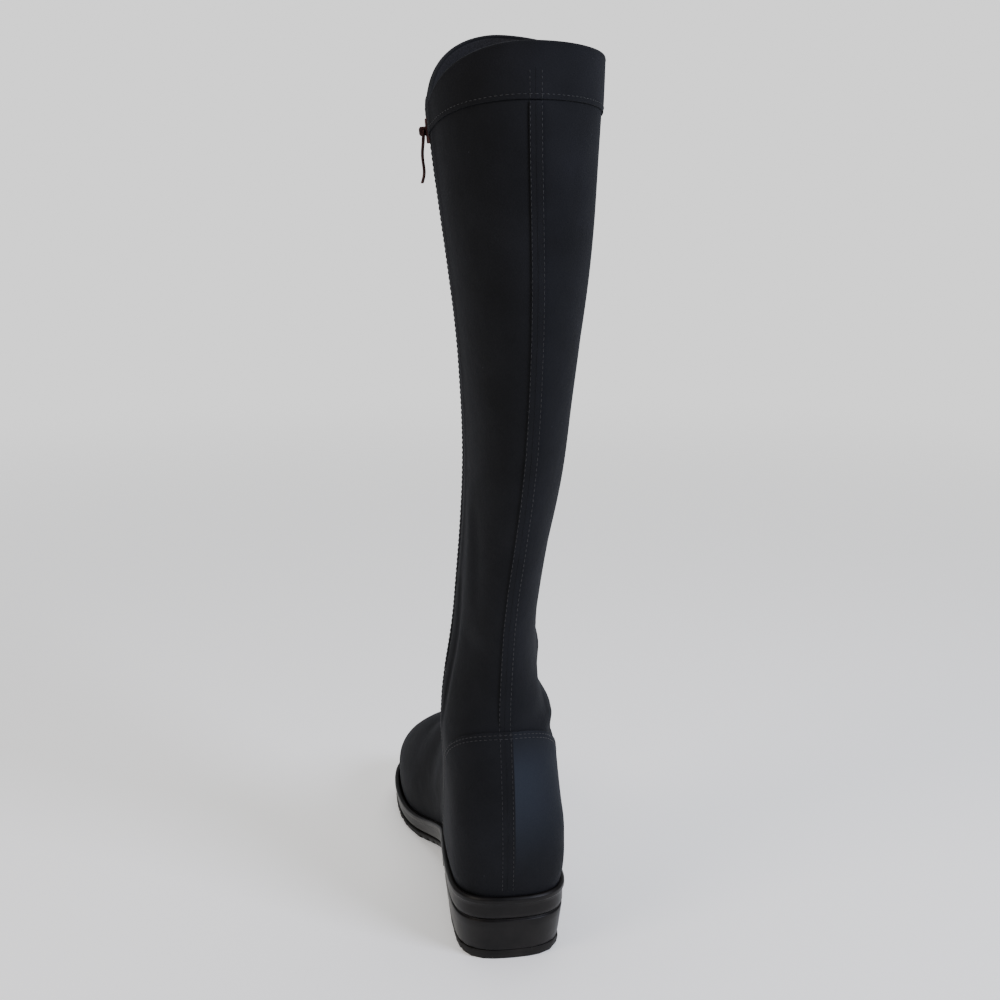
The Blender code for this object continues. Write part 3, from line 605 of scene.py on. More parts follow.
def smoothed(values: Sequence[float], calm: int) -> np.ndarray:
    """A running mean.

    Args:
        values: The values.
        calm: How many neighbours on each side count.

    Returns:
        The means, one for each value.
    """
    width = 2 * calm + 1
    return np.convolve(np.pad(values, calm, mode="edge"), np.ones(width) / width, mode="valid")


def finished(name: str, mesh: bmesh.types.BMesh, finishes: Sequence[bpy.types.Material], body: Body,
             replaced: Iterable[str] = (), levels: int = 0,
             sharp: float = 60.0) -> bpy.types.Object:
    """Makes a piece of a finished mesh and hangs it on its body.

    Args:
        name: The piece's name.
        mesh: Its mesh, which is freed.
        finishes: Its materials, in the order of its faces' numbers.
        body: The body that it rides on.
        replaced: The nodes that it stands for.
        levels: Levels of a live subdivision surface.
        sharp: Edges that turn more than this many degrees are shaded sharp.

    Returns:
        The piece.
    """
    data = bpy.data.meshes.new(name)
    mesh.to_mesh(data)
    mesh.free()
    data.shade_smooth()
    data.set_sharp_from_angle(angle=math.radians(sharp))
    piece = bpy.data.objects.new(name, data)
    bpy.context.scene.collection.objects.link(piece)
    for finish in finishes:
        data.materials.append(finish)
    if levels:
        surface = piece.modifiers.new("surface", "SUBSURF")
        surface.levels = levels
        surface.render_levels = levels
    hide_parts(*replaced)
    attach(piece, body.value)
    return piece


@dataclass(frozen=True)
class AxisPoint:
    """A point of the line up the middle of the leg."""

    height: float
    x: float
    y: float


LEG_AXIS = (
    AxisPoint(0.040, 0.000, 0.010),
    AxisPoint(0.100, 0.000, 0.020),
    AxisPoint(0.160, -0.002, 0.028),
    AxisPoint(0.250, 0.004, 0.025),
    AxisPoint(0.350, 0.008, 0.020),
    AxisPoint(0.510, 0.009, 0.020),
)


def leg_axis(height: float) -> Vector:
    """The middle of the leg at a height.

    Args:
        height: Height over the floor.

    Returns:
        The point.
    """
    heights = [point.height for point in LEG_AXIS]
    x = float(np.interp(height, heights, [point.x for point in LEG_AXIS]))
    y = float(np.interp(height, heights, [point.y for point in LEG_AXIS]))
    return Vector((x, y, height))


def leg_way(turn: float) -> Vector:
    """The level direction out of the leg, in degrees from the back, positive to the outer side."""
    return Vector((math.sin(math.radians(turn)), -math.cos(math.radians(turn)), 0.0))


class Form:
    """The outer surface of cloth pieces, which can be asked for a spot on it."""

    REACH = 0.3
    FOOT_TOP = 0.115
    SPINE_HEIGHT = 0.035
    SPINE_START = 0.06
    SPINE_BEND = 0.1
    SPINE_END = 0.165
    SPINE_SLOPE = -0.07

    def __init__(self, meshes: Sequence[tuple[np.ndarray, list[list[int]]]]) -> None:
        """Builds the search tree.

        Args:
            meshes: Vertices and faces of each piece.
        """
        points: list[Vector] = []
        faces: list[list[int]] = []
        for vertices, polygons in meshes:
            start = len(points)
            points += [Vector(vertex) for vertex in vertices]
            faces += [[index + start for index in polygon] for polygon in polygons]
        self.tree = BVHTree.FromPolygons(points, faces)

    @staticmethod
    def middle_of(point: Vector) -> Vector:
        """The inner point that the wall turns its back to.

        Args:
            point: A point of the wall.

        Returns:
            The inner point.
        """
        if point.z >= Form.FOOT_TOP or point.y < Form.SPINE_START:
            return leg_axis(point.z)
        return Form.spine(min(point.y, Form.SPINE_END), min(point.z, Form.SPINE_HEIGHT))

    @staticmethod
    def spine(along: float, height: float) -> Vector:
        """A point of the foot's middle line, which curves to the inner side towards the toe."""
        return Vector((Form.SPINE_SLOPE * max(0.0, along - Form.SPINE_BEND), along, height))

    def at_leg(self, turn: float, height: float) -> tuple[Vector, Vector]:
        """A spot on the leg.

        Args:
            turn: Degrees round the leg from the middle of the back, positive to the outer side.
            height: Height over the floor.

        Returns:
            The point and the outward direction there.
        """
        way = leg_way(turn)
        return self.hit(leg_axis(height) + way * self.REACH, -way)

    def at_foot(self, turn: float, along: float) -> tuple[Vector, Vector]:
        """A spot on the foot.

        Args:
            turn: Degrees from straight up, positive to the outer side.
            along: Distance along the foot from the middle of the heel.

        Returns:
            The point and the outward direction there.
        """
        way = Vector((math.sin(math.radians(turn)), 0.0, math.cos(math.radians(turn))))
        return self.hit(self.spine(along, self.SPINE_HEIGHT) + way * self.REACH, -way)

    def hit(self, start: Vector, way: Vector) -> tuple[Vector, Vector]:
        """Where a ray first meets the surface.

        Args:
            start: A point outside.
            way: The ray's direction.

        Returns:
            The point and the outward direction there.
        """
        point, normal, _, _ = self.tree.ray_cast(start, way)
        if point is None:
            point, normal, _, _ = self.tree.find_nearest(start + way * self.REACH)
        if normal.dot(way) > 0:
            normal = -normal
        return point, normal


@dataclass(frozen=True)
class Fold:
    """One soft trough or ridge in the cloth. A place is (turn, height) on the leg or (turn, along) on the
    foot, in degrees and metres."""

    start: tuple[float, float]
    middle: tuple[float, float]
    end: tuple[float, float]
    width: float
    rise: float
    foot: bool = False

    def line(self, form: Form, steps: int = 14) -> np.ndarray:
        """The fold's line on the surface.

        Args:
            form: The surface.
            steps: How many pieces it has.

        Returns:
            Its points, one a row.
        """
        find = form.at_foot if self.foot else form.at_leg
        rows = []
        for step in range(steps + 1):
            t = step / steps
            parts = ((1 - t) * (1 - 2 * t), 4 * t * (1 - t), t * (2 * t - 1))
            turn = sum(part * place[0] for part, place in zip(parts, (self.start, self.middle, self.end)))
            level = sum(part * place[1] for part, place in zip(parts, (self.start, self.middle, self.end)))
            rows.append(find(turn, level)[0])
        return np.array([tuple(point) for point in rows])


# Creases of the stretch cloth, ridges with a positive rise. The ankle settles into rolls at the outer side,
# the throat of the foot buckles where it bends, and the wall pulls flat towards the zip.
FOLDS = (
    Fold((56, 0.180), (88, 0.168), (122, 0.172), 0.010, 0.0027),
    Fold((46, 0.158), (84, 0.150), (124, 0.157), 0.0065, -0.0022),
    Fold((52, 0.198), (84, 0.190), (112, 0.196), 0.008, -0.0014),
    Fold((50, 0.140), (88, 0.135), (126, 0.142), 0.0085, 0.0023),
    Fold((36, 0.126), (82, 0.124), (118, 0.128), 0.0050, -0.0019),
    Fold((16, 0.126), (60, 0.130), (100, 0.118), 0.0055, 0.0012),
    Fold((-64, 0.218), (-70, 0.168), (-80, 0.124), 0.0060, -0.0016),
    Fold((36, 0.192), (66, 0.197), (96, 0.189), 0.008, -0.0012),
    Fold((56, 0.272), (84, 0.260), (108, 0.240), 0.011, 0.0019),
    Fold((42, 0.244), (80, 0.235), (104, 0.214), 0.009, -0.0019),
    Fold((84, 0.300), (102, 0.282), (118, 0.262), 0.013, -0.0009),
    Fold((6, 0.150), (22, 0.146), (44, 0.150), 0.008, 0.0010),
    Fold((-30, 0.152), (-12, 0.147), (8, 0.151), 0.008, -0.0008),
    Fold((-40, 0.131), (-22, 0.127), (4, 0.130), 0.008, 0.0010),
    Fold((-44, 0.186), (-26, 0.178), (-6, 0.181), 0.009, -0.0008),
    Fold((-52, 0.270), (-40, 0.232), (-36, 0.196), 0.009, 0.0010),
    Fold((-40, 0.262), (-30, 0.226), (-28, 0.190), 0.008, -0.0009),
    Fold((20, 0.330), (36, 0.285), (44, 0.240), 0.016, 0.0008),
    Fold((-20, 0.410), (-12, 0.350), (-8, 0.290), 0.018, -0.0006),
    Fold((36, 0.440), (46, 0.400), (52, 0.350), 0.018, 0.0007),
    Fold((140, 0.150), (172, 0.138), (212, 0.150), 0.008, -0.0020),
    Fold((134, 0.168), (170, 0.158), (210, 0.168), 0.009, 0.0018),
    Fold((136, 0.188), (176, 0.178), (214, 0.190), 0.009, -0.0015),
    Fold((140, 0.206), (168, 0.199), (204, 0.206), 0.010, 0.0010),
    Fold((128, 0.129), (168, 0.120), (206, 0.128), 0.008, 0.0014),
    Fold((150, 0.232), (178, 0.226), (200, 0.236), 0.011, -0.0008),
    Fold((-58, 0.116), (0, 0.108), (58, 0.116), 0.007, -0.0009, foot=True),
    Fold((-62, 0.129), (0, 0.122), (60, 0.128), 0.008, 0.0008, foot=True),
    Fold((-56, 0.143), (4, 0.137), (62, 0.141), 0.006, -0.0010, foot=True),
    Fold((20, 0.092), (52, 0.098), (74, 0.104), 0.008, 0.0009, foot=True),
    Fold((-24, 0.090), (-50, 0.097), (-72, 0.104), 0.008, 0.0008, foot=True),
)


class Drape:
    """How the folds and the slack of the cloth move each point of it outwards."""

    SLACK = 0.00035
    SLACK_SIZE = 0.045
    CALM_HEIGHT = 0.05
    CALM_SPAN = 0.03
    TAPER = 0.8
    FALL = 1.4

    def __init__(self, form: Form, skin: bmesh.types.BMesh) -> None:
        """Keeps the folds' lines and the outward directions.

        Args:
            form: The undraped surface.
            skin: The undraped wall.
        """
        self.lines = [(fold, fold.line(form)) for fold in FOLDS]
        outer = [vert for vert in skin.verts if vert.normal.dot(vert.co - Form.middle_of(vert.co)) > 0]
        self.tree = KDTree(len(outer))
        self.normals = [vert.normal.copy() for vert in outer]
        for index, vert in enumerate(outer):
            self.tree.insert(vert.co, index)
        self.tree.balance()

    def amounts(self, points: np.ndarray) -> np.ndarray:
        """How far each point moves outwards.

        Args:
            points: The points, one a row.

        Returns:
            The distances.
        """
        total = np.zeros(len(points))
        for fold, line in self.lines:
            near = np.full(len(points), np.inf)
            place = np.zeros(len(points))
            count = len(line) - 1
            for index in range(count):
                a, b = line[index], line[index + 1]
                along = np.clip((points - a) @ (b - a) / ((b - a) @ (b - a)), 0.0, 1.0)
                away = np.linalg.norm(points - a - along[:, None] * (b - a), axis=1)
                closer = away < near
                near = np.where(closer, away, near)
                place = np.where(closer, (index + along) / count, place)
            taper = np.clip(1 - (2 * place - 1) ** 2, 0.0, 1.0) ** self.TAPER
            total += fold.rise * taper * np.exp(-(near / fold.width) ** 2 * self.FALL)
        return total

    def apply(self, mesh: bmesh.types.BMesh) -> None:
        """Moves a mesh's vertices.

        Args:
            mesh: The piece.
        """
        points = np.array([tuple(vert.co) for vert in mesh.verts])
        amounts = self.amounts(points)
        for vert, amount in zip(mesh.verts, amounts):
            _, index, _ = self.tree.find(vert.co)
            slack = noise.noise(vert.co / self.SLACK_SIZE) * self.SLACK
            calm = min(1.0, max(0.0, (vert.co.z - self.CALM_HEIGHT) / self.CALM_SPAN))
            vert.co += self.normals[index] * (float(amount) + slack * calm)


def plain(mesh: bmesh.types.BMesh) -> tuple[np.ndarray, list[list[int]]]:
    """A mesh as vertices and faces.

    Args:
        mesh: The mesh.

    Returns:
        Its vertices, one a row, and its faces.
    """
    mesh.verts.index_update()
    points = np.array([tuple(vert.co) for vert in mesh.verts])
    return points, [[vert.index for vert in face.verts] for face in mesh.faces]


def evaluated(piece: bpy.types.Object) -> tuple[np.ndarray, list[list[int]]]:
    """A finished piece as vertices and faces, modifiers included.

    Args:
        piece: The piece.

    Returns:
        Its vertices, one a row, and its faces.
    """
    mesh = bmesh.new()
    mesh.from_object(piece, bpy.context.evaluated_depsgraph_get())
    found = plain(mesh)
    mesh.free()
    return found


@dataclass
class ClothUpper:
    """Wall of foot and leg, hem band, heel counter and back seam, all of the same cloth."""

    frame: dict[str, Any]
    palette: Palette
    counter_height: float = 0.0985
    counter_reach: float = 0.072
    counter_power: float = 1.7
    counter_steps: int = 16
    counter_gap: float = 0.0003
    counter_thickness: float = 0.0006
    counter_merge: float = 0.4 * MM
    lining_turn: float = -0.3
    longest_rise: float = 0.0043
    seat: float = 0.038
    heel_back: float = -0.034
    wall: Optional[bmesh.types.BMesh] = None
    drape: Optional[Drape] = None

    def build(self) -> list[bpy.types.Object]:
        """Builds and dresses the cloth pieces.

        Returns:
            The pieces.
        """
        self.wall = refined(node_copy(self.frame["nodes"]["upper"]), 2)
        tall = [edge for edge in self.wall.edges
                if abs(edge.verts[0].co.z - edge.verts[1].co.z) > self.longest_rise]
        bmesh.ops.subdivide_edges(self.wall, edges=tall, cuts=1)
        self.wall.normal_update()
        self.drape = Drape(Form([plain(self.wall)]), self.wall)
        self.drape.apply(self.wall)
        self.wall.normal_update()
        return [self.counter(), self.hem(), self.back_seam(), self.leg_and_foot()]

    def leg_and_foot(self) -> bpy.types.Object:
        """The wall, cloth outside and lining inside.

        Returns:
            The piece.
        """
        for face in self.wall.faces:
            middle = face.calc_center_median()
            inward = face.normal.dot((middle - Form.middle_of(middle)).normalized())
            face.material_index = 1 if inward < self.lining_turn else 0
        return finished("stretch_upper", self.wall, [self.palette.cloth, self.palette.lining], Body.BOOT,
                        ["upper"], sharp=180)

    def arch(self, share: float) -> float:
        """Height of the counter's arch at a share of its reach, itself a share of its height."""
        return (1 - share ** self.counter_power) ** (1 / self.counter_power)

    def counter_top(self, along: float, inset: float) -> float:
        """Height of the counter's arched edge.

        Args:
            along: Distance along the foot.
            inset: How far inside the edge.

        Returns:
            The height.
        """
        reach = self.counter_reach - inset
        share = min(1.0, max(0.0, (along - self.heel_back) / reach))
        return self.seat + (self.counter_height - inset) * self.arch(share)

    def counter_edge(self, share: float) -> tuple[float, float]:
        """A point of the counter's arched edge seen from the side.

        Args:
            share: 0 at the back, 1 at its front end.

        Returns:
            Distance along the foot and height.
        """
        reach = math.sin(share * math.pi / 2)
        return self.heel_back + self.counter_reach * reach, self.seat + self.counter_height * self.arch(reach)

    def counter(self) -> bpy.types.Object:
        """The panel round the heel, cut from the wall's outer side under its arched edge.

        Returns:
            The piece.
        """
        panel = self.wall.copy()
        inner = []
        for face in panel.faces:
            middle = face.calc_center_median()
            if face.normal.dot(middle - Form.middle_of(middle)) < 0:
                inner.append(face)
        bmesh.ops.delete(panel, geom=inner, context="FACES")
        bounds = [(Vector((0, 0, self.seat + self.counter_height)), Vector((0, 0, 1))),
                  (Vector((0, self.heel_back + self.counter_reach, 0)), Vector((0, 1, 0)))]
        edge = [self.counter_edge(step / self.counter_steps) for step in range(self.counter_steps + 1)]
        for (y0, z0), (y1, z1) in zip(edge, edge[1:]):
            bounds.append((Vector((0, y0, z0)), Vector((0, z0 - z1, y1 - y0)).normalized()))
        for spot, away in bounds:
            geometry = panel.verts[:] + panel.edges[:] + panel.faces[:]
            bmesh.ops.bisect_plane(panel, geom=geometry, plane_co=spot, plane_no=away, clear_outer=True)
        bmesh.ops.remove_doubles(panel, verts=panel.verts[:], dist=self.counter_merge)
        panel.normal_update()
        for vert in panel.verts:
            vert.co += vert.normal * (self.counter_gap + self.counter_thickness)
        bmesh.ops.solidify(panel, geom=panel.faces[:], thickness=self.counter_thickness)
        return finished("heel_counter_panel", panel, [self.palette.panel], Body.BOOT,
                        ["heel_counter"], sharp=60)

    def hem(self) -> bpy.types.Object:
        """The turned band at the collar.

        Returns:
            The piece.
        """
        band = refined(node_copy(self.frame["nodes"]["hem_band"]), 2, crease_angle=50, crease=0.5)
        self.drape.apply(band)
        return finished("turned_hem", band, [self.palette.cloth], Body.BOOT, ["hem_band"],
                        sharp=180)

    def back_seam(self) -> bpy.types.Object:
        """The flattened seam allowance up the back.

        Returns:
            The piece.
        """
        strip = refined(node_copy(self.frame["nodes"]["back_seam"]), 3, crease_angle=50, crease=0.4)
        self.drape.apply(strip)
        return finished("flat_back_seam", strip, [self.palette.cloth], Body.BOOT, ["back_seam"],
                        sharp=180)


@dataclass(frozen=True)
class StitchStyle:
    """Size of one stitch of a row."""

    pitch: float = 0.0029
    length: float = 0.0020
    width: float = 0.00048
    lift: float = 0.00006


def cord(points: Sequence[Vector], radius: float, sides: int = 3) -> bmesh.types.BMesh:
    """A round cord with closed ends along a line.

    Args:
        points: The line.
        radius: Half its thickness.
        sides: Roundness of its section.

    Returns:
        Its mesh.
    """
    curve = bpy.data.curves.new("cord", "CURVE")
    curve.dimensions = "3D"
    curve.bevel_depth = radius
    curve.bevel_resolution = sides
    curve.use_fill_caps = True
    line = curve.splines.new("POLY")
    line.points.add(len(points) - 1)
    for spot, point in zip(line.points, points):
        spot.co = (*point, 1.0)
    holder = bpy.data.objects.new("cord", curve)
    bpy.context.scene.collection.objects.link(holder)
    data = bpy.data.meshes.new_from_object(holder.evaluated_get(bpy.context.evaluated_depsgraph_get()))
    mesh = bmesh.new()
    mesh.from_mesh(data)
    bpy.data.objects.remove(holder)
    bpy.data.curves.remove(curve)
    bpy.data.meshes.remove(data)
    bmesh.ops.remove_doubles(mesh, verts=mesh.verts[:], dist=MERGE_DISTANCE)
    return mesh


class Stitcher:
    """Lays rows of stitches on the cloth."""

    def __init__(self) -> None:
        """Starts an empty mesh."""
        self.mesh = bmesh.new()
        self.count = 0

    def row(self, places: Sequence[tuple[Vector, Vector]], style: StitchStyle) -> None:
        """Adds one row.

        Args:
            places: Close points of the row, with their outward directions.
            style: The stitches' size.
        """
        left = style.pitch / 2
        for (start, normal), (end, _) in zip(places, places[1:]):
            span = (end - start).length
            while left < span:
                spot = start.lerp(end, left / span)
                self.stitch(spot, (end - start).normalized(), normal, style)
                left += style.pitch
            left -= span

    def stitch(self, spot: Vector, along: Vector, normal: Vector, style: StitchStyle) -> None:
        """Adds one stitch.

        Args:
            spot: Its middle, on the cloth.
            along: The row's direction.
            normal: The outward direction.
            style: Its size.
        """
        across = normal.cross(along).normalized()
        out = along.cross(across)
        turn = Matrix((across, out, along)).transposed().to_4x4()
        size = Matrix.Diagonal((style.width / 2, style.width / 2, style.length / 2, 1.0))
        place = Matrix.Translation(spot + normal * style.lift) @ turn @ size
        bmesh.ops.create_uvsphere(self.mesh, u_segments=6, v_segments=4, radius=1.0, matrix=place)
        self.count += 1

    def finish(self, name: str, palette: Palette) -> bpy.types.Object:
        """Makes the rows a piece.

        Args:
            name: The piece's name.
            palette: The finishes.

        Returns:
            The piece.
        """
        LOG.info("%s: %d stitches", name, self.count)
        return finished(name, self.mesh, [palette.thread], Body.BOOT, sharp=180)


@dataclass
class Stitching:
    """The rows that show: along the hem, both sides of the back seam, over the counter and beside the zip."""

    form: Form
    frame: dict[str, Any]
    palette: Palette
    upper: ClothUpper
    step: float = 0.0012
    halvings: int = 14
    scan_turn: int = 3
    scan_step: float = 0.0005
    touch: float = 0.00005
    hem_rise: float = 0.0022
    hem_zip_height: float = 0.455
    hem_gap: float = 5.5
    hem_spots: int = 900
    hem_calm: int = 2
    seam_side: float = 0.0030
    seam_foot: float = 0.043
    seam_drop: float = 0.022
    seam_width: float = 0.0004
    counter_insets: tuple[float, float] = (0.0018, 0.0040)
    counter_turn: int = 132
    counter_low: float = 0.003
    counter_foot: float = 0.005
    counter_over: float = 0.01
    zip_side: float = 0.0068
    zip_reach: float = 0.05
    zip_calm: int = 4
    collar_low: float = 0.440
    collar_over: float = 0.002
    roll_zip_height: float = 0.465
    roll_gap: float = 4.0
    roll_spots: int = 240
    roll_radius: float = 0.0014
    roll_drop: float = 0.0012
    roll_sunk: float = 0.9
    line_radius: float = 0.00028
    line_sunk: float = 0.00008

    def __post_init__(self) -> None:
        """Measures the line up the middle of the zip and the collar's highest point."""
        places = np.array([tuple(vert.co) for vert in self.frame["nodes"]["zip_coil"].data.vertices])
        self.levels = np.unique(places[:, 2].round(3))
        self.middles = np.array([places[np.abs(places[:, 2] - level) < 0.0015].mean(axis=0)
                                 for level in self.levels])
        self.collar_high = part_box("hem_band")[1].z

    def build(self) -> list[bpy.types.Object]:
        """Sews all rows.

        Returns:
            The pieces.
        """
        return [self.hem_row(), self.seam_rows(), self.seam_line(), self.counter_rows(), self.zip_rows(),
                self.collar_roll()]

    def hem_line(self) -> list[tuple[float, float]]:
        """The hem band's lower edge.

        Returns:
            Turns in degrees and heights, in the order of the turns.
        """
        band = Form([evaluated(bpy.data.objects["turned_hem"])])
        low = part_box("hem_band")[0].z
        line = []
        for turn in range(-180, 180, self.scan_turn):
            for step in range(int((self.collar_high - low) / self.scan_step)):
                height = low + step * self.scan_step
                point, _ = self.form.at_leg(turn, height)
                if (band.tree.find_nearest(point)[0] - point).length < self.touch:
                    line.append((float(turn), height))
                    break
        return line

    def hem_row(self) -> bpy.types.Object:
        """The single row just over the hem band's lower edge.

        Returns:
            The piece.
        """
        line = self.hem_line()
        turns = [turn for turn, _ in line]
        heights = smoothed([height for _, height in line], self.hem_calm)
        start = self.zip_turn(self.hem_zip_height) + self.hem_gap
        sewer = Stitcher()
        places = []
        for step in range(1, self.hem_spots):
            turn = start + (360 - 2 * self.hem_gap) * step / self.hem_spots
            wrapped = (turn + 180) % 360 - 180
            height = float(np.interp(wrapped, turns, heights, period=360)) + self.hem_rise
            places.append(self.form.at_leg(wrapped, height))
        sewer.row(places, StitchStyle())
        return sewer.finish("hem_stitches", self.palette)

    def seam_places(self, side: float) -> list[tuple[Vector, Vector]]:
        """Spots along the seam up the back, carried on over hem and counter.

        Args:
            side: Distance from its middle, positive to the outer side.

        Returns:
            Points and outward directions.
        """
        node = self.frame["nodes"]["back_seam"]
        heights = np.array([vert.co.z for vert in node.data.vertices])
        centres = np.array([vert.co.x for vert in node.data.vertices])
        order = np.unique(heights.round(4))
        middles = [float(centres[np.abs(heights - height) < 0.0012].mean()) for height in order]
        places = []
        for height in np.arange(self.seam_foot, self.collar_high - self.seam_drop, self.step):
            x = float(np.interp(height, order, middles)) + side
            places.append(self.form.hit(Vector((x, -Form.REACH, height)), Vector((0, 1, 0))))
        return places

    def seam_rows(self) -> bpy.types.Object:
        """A row on each side of the back seam.

        Returns:
            The piece.
        """
        sewer = Stitcher()
        for side in (-1, 1):
            sewer.row(self.seam_places(side * self.seam_side), StitchStyle(width=self.seam_width))
        return sewer.finish("back_seam_stitches", self.palette)

    def seam_line(self) -> bpy.types.Object:
        """The fine raised line where both halves of the back meet.

        Returns:
            The piece.
        """
        line = [point - normal * self.line_sunk for point, normal in self.seam_places(0.0)]
        return finished("back_seam_line", cord(line, self.line_radius, 1), [self.palette.cloth], Body.BOOT,
                        sharp=180)

    def counter_place(self, turn: float, inset: float) -> tuple[Vector, Vector]:
        """A spot on a row along the counter's arched edge, found by halving a stretch of the leg.

        Args:
            turn: Degrees round the leg from the middle of the back.
            inset: How far the row lies inside the edge.

        Returns:
            The point and the outward direction there.
        """
        low = self.upper.seat + self.counter_low
        high = self.upper.seat + self.upper.counter_height + self.counter_over
        for _ in range(self.halvings):
            height = (low + high) / 2
            place = self.form.at_leg(turn, height)
            above = height > self.upper.counter_top(place[0].y, inset)
            low, high = (low, height) if above else (height, high)
        return place

    def counter_rows(self) -> bpy.types.Object:
        """Two rows along the counter's arched edge.

        Returns:
            The piece.
        """
        sewer = Stitcher()
        for inset in self.counter_insets:
            places = [self.counter_place(float(turn), inset)
                      for turn in range(-self.counter_turn, self.counter_turn + 1)]
            sewer.row([place for place in places if place[0].z > self.upper.seat + self.counter_foot],
                      StitchStyle())
        return sewer.finish("counter_stitches", self.palette)

    def collar_top(self, turn: float) -> float:
        """Height of the collar's edge, found by halving: a ray from outside meets the cloth below it.

        Args:
            turn: Degrees round the leg from the middle of the back.

        Returns:
            The height.
        """
        way = leg_way(turn)
        low, high = self.collar_low, self.collar_high + self.collar_over
        for _ in range(self.halvings):
            height = (low + high) / 2
            point = self.form.tree.ray_cast(leg_axis(height) + way * Form.REACH, -way, Form.REACH)[0]
            low, high = (low, height) if point is None else (height, high)
        return low

    def collar_roll(self) -> bpy.types.Object:
        """The cloth's turned edge along the collar, round where it folds over to the inside.

        Returns:
            The piece.
        """
        start = self.zip_turn(self.roll_zip_height) + self.roll_gap
        points = []
        for step in range(self.roll_spots + 1):
            turn = start + (360 - 2 * self.roll_gap) * step / self.roll_spots
            edge, _ = self.form.at_leg(turn, self.collar_top(turn) - self.roll_drop)
            points.append(edge - leg_way(turn) * self.roll_radius * self.roll_sunk)
        return finished("collar_roll", cord(points, self.roll_radius), [self.palette.cloth], Body.BOOT,
                        sharp=180)

    def zip_turn(self, height: float) -> float:
        """Where the zip's middle lies round the leg.

        Args:
            height: Height over the floor.

        Returns:
            Degrees from the middle of the back.
        """
        away = self.zip_middle(height) - leg_axis(height)
        return math.degrees(math.atan2(away.x, -away.y))

    def zip_middle(self, height: float) -> Vector:
        """The zip's middle at a height.

        Args:
            height: Height over the floor.

        Returns:
            The point.
        """
        x, y = (float(np.interp(height, self.levels, self.middles[:, axis])) for axis in (0, 1))
        return Vector((x, y, height))

    def zip_rows(self) -> bpy.types.Object:
        """A row on each side of the zip, on the placket.

        Returns:
            The piece.
        """
        sewer = Stitcher()
        low, high = (corner.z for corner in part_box("zip_coil"))
        count = int((high - low) / self.step)
        middles = [self.zip_middle(low + (high - low) * step / count) for step in range(count + 1)]
        for side in (-1, 1):
            places = []
            for middle in middles:
                away = middle - leg_axis(middle.z)
                along = Vector((-away.y, away.x, 0)).normalized()
                start = middle + along * side * self.zip_side
                out = (start - leg_axis(middle.z)).normalized()
                places.append(self.form.hit(start + out * self.zip_reach, -out))
            points = np.array([tuple(point) for point, _ in places])
            calm = np.column_stack([smoothed(points[:, axis], self.zip_calm) for axis in range(3)])
            sewer.row([(Vector(point), normal) for point, (_, normal) in zip(calm, places)], StitchStyle())
        return sewer.finish("zip_stitches", self.palette)


@dataclass
class SideZip:
    """Coil, slider and pull tab."""

    frame: dict[str, Any]
    palette: Palette
    stitching: Stitching
    pitch: float = 0.0017
    tooth_length: float = 0.0034
    tooth_width: float = 0.00105
    tooth_height: float = 0.0011
    tooth_offset: float = 0.28
    slant: float = 16.0
    slider_lap: float = 0.004
    slider_round: float = 0.18 * MM

    def build(self) -> list[bpy.types.Object]:
        """Builds and dresses the zip.

        Returns:
            The pieces.
        """
        dress(self.frame["nodes"]["zip_tape"], self.palette.tape)
        return [self.coil(), self.slider(), self.pull()]

    def coil(self) -> bpy.types.Object:
        """Two rows of coil turns that interlock in the middle.

        Returns:
            The piece.
        """
        mesh = bmesh.new()
        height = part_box("zip_coil")[0].z + self.pitch
        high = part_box("zip_slider")[0].z + self.slider_lap
        size = Matrix.Diagonal((self.tooth_width / 2, self.tooth_height / 2, self.tooth_length / 2, 1.0))
        side = 1
        while height < high:
            middle = self.stitching.zip_middle(height)
            ahead = (self.stitching.zip_middle(height + self.pitch) - middle).normalized()
            out = (middle - leg_axis(height)).normalized()
            across = ahead.cross(out).normalized()
            out = across.cross(ahead).normalized()
            lie = Matrix.Rotation(math.radians(self.slant * side), 3, out) @ across
            turn = Matrix((lie.cross(out), out, lie)).transposed().to_4x4()
            spot = middle + across * side * self.tooth_length * self.tooth_offset
            bmesh.ops.create_uvsphere(mesh, u_segments=8, v_segments=6, radius=1.0,
                                      matrix=Matrix.Translation(spot) @ turn @ size)
            side = -side
            height += self.pitch / 2
        return finished("zip_coil_turns", mesh, [self.palette.coil], Body.BOOT, ["zip_coil"],
                        sharp=180)

    def slider(self) -> bpy.types.Object:
        """The slider with its bridge, its edges rounded.

        Returns:
            The piece.
        """
        mesh = rounded(self.frame["nodes"]["zip_slider"], 4, 40, self.slider_round)
        return finished("zip_slider_body", mesh, [self.palette.metal], Body.BOOT, ["zip_slider"],
                        sharp=35)

    def pull(self) -> bpy.types.Object:
        """The pull tab, a thin wavy tongue with an eye at its top.

        Returns:
            The piece.
        """
        mesh = refined(node_copy(self.frame["nodes"]["zip_pull"]), 2, crease_angle=50, crease=0.35)
        return finished("zip_pull_tab", mesh, [self.palette.metal], Body.PULL, ["zip_pull"],
                        levels=1, sharp=180)


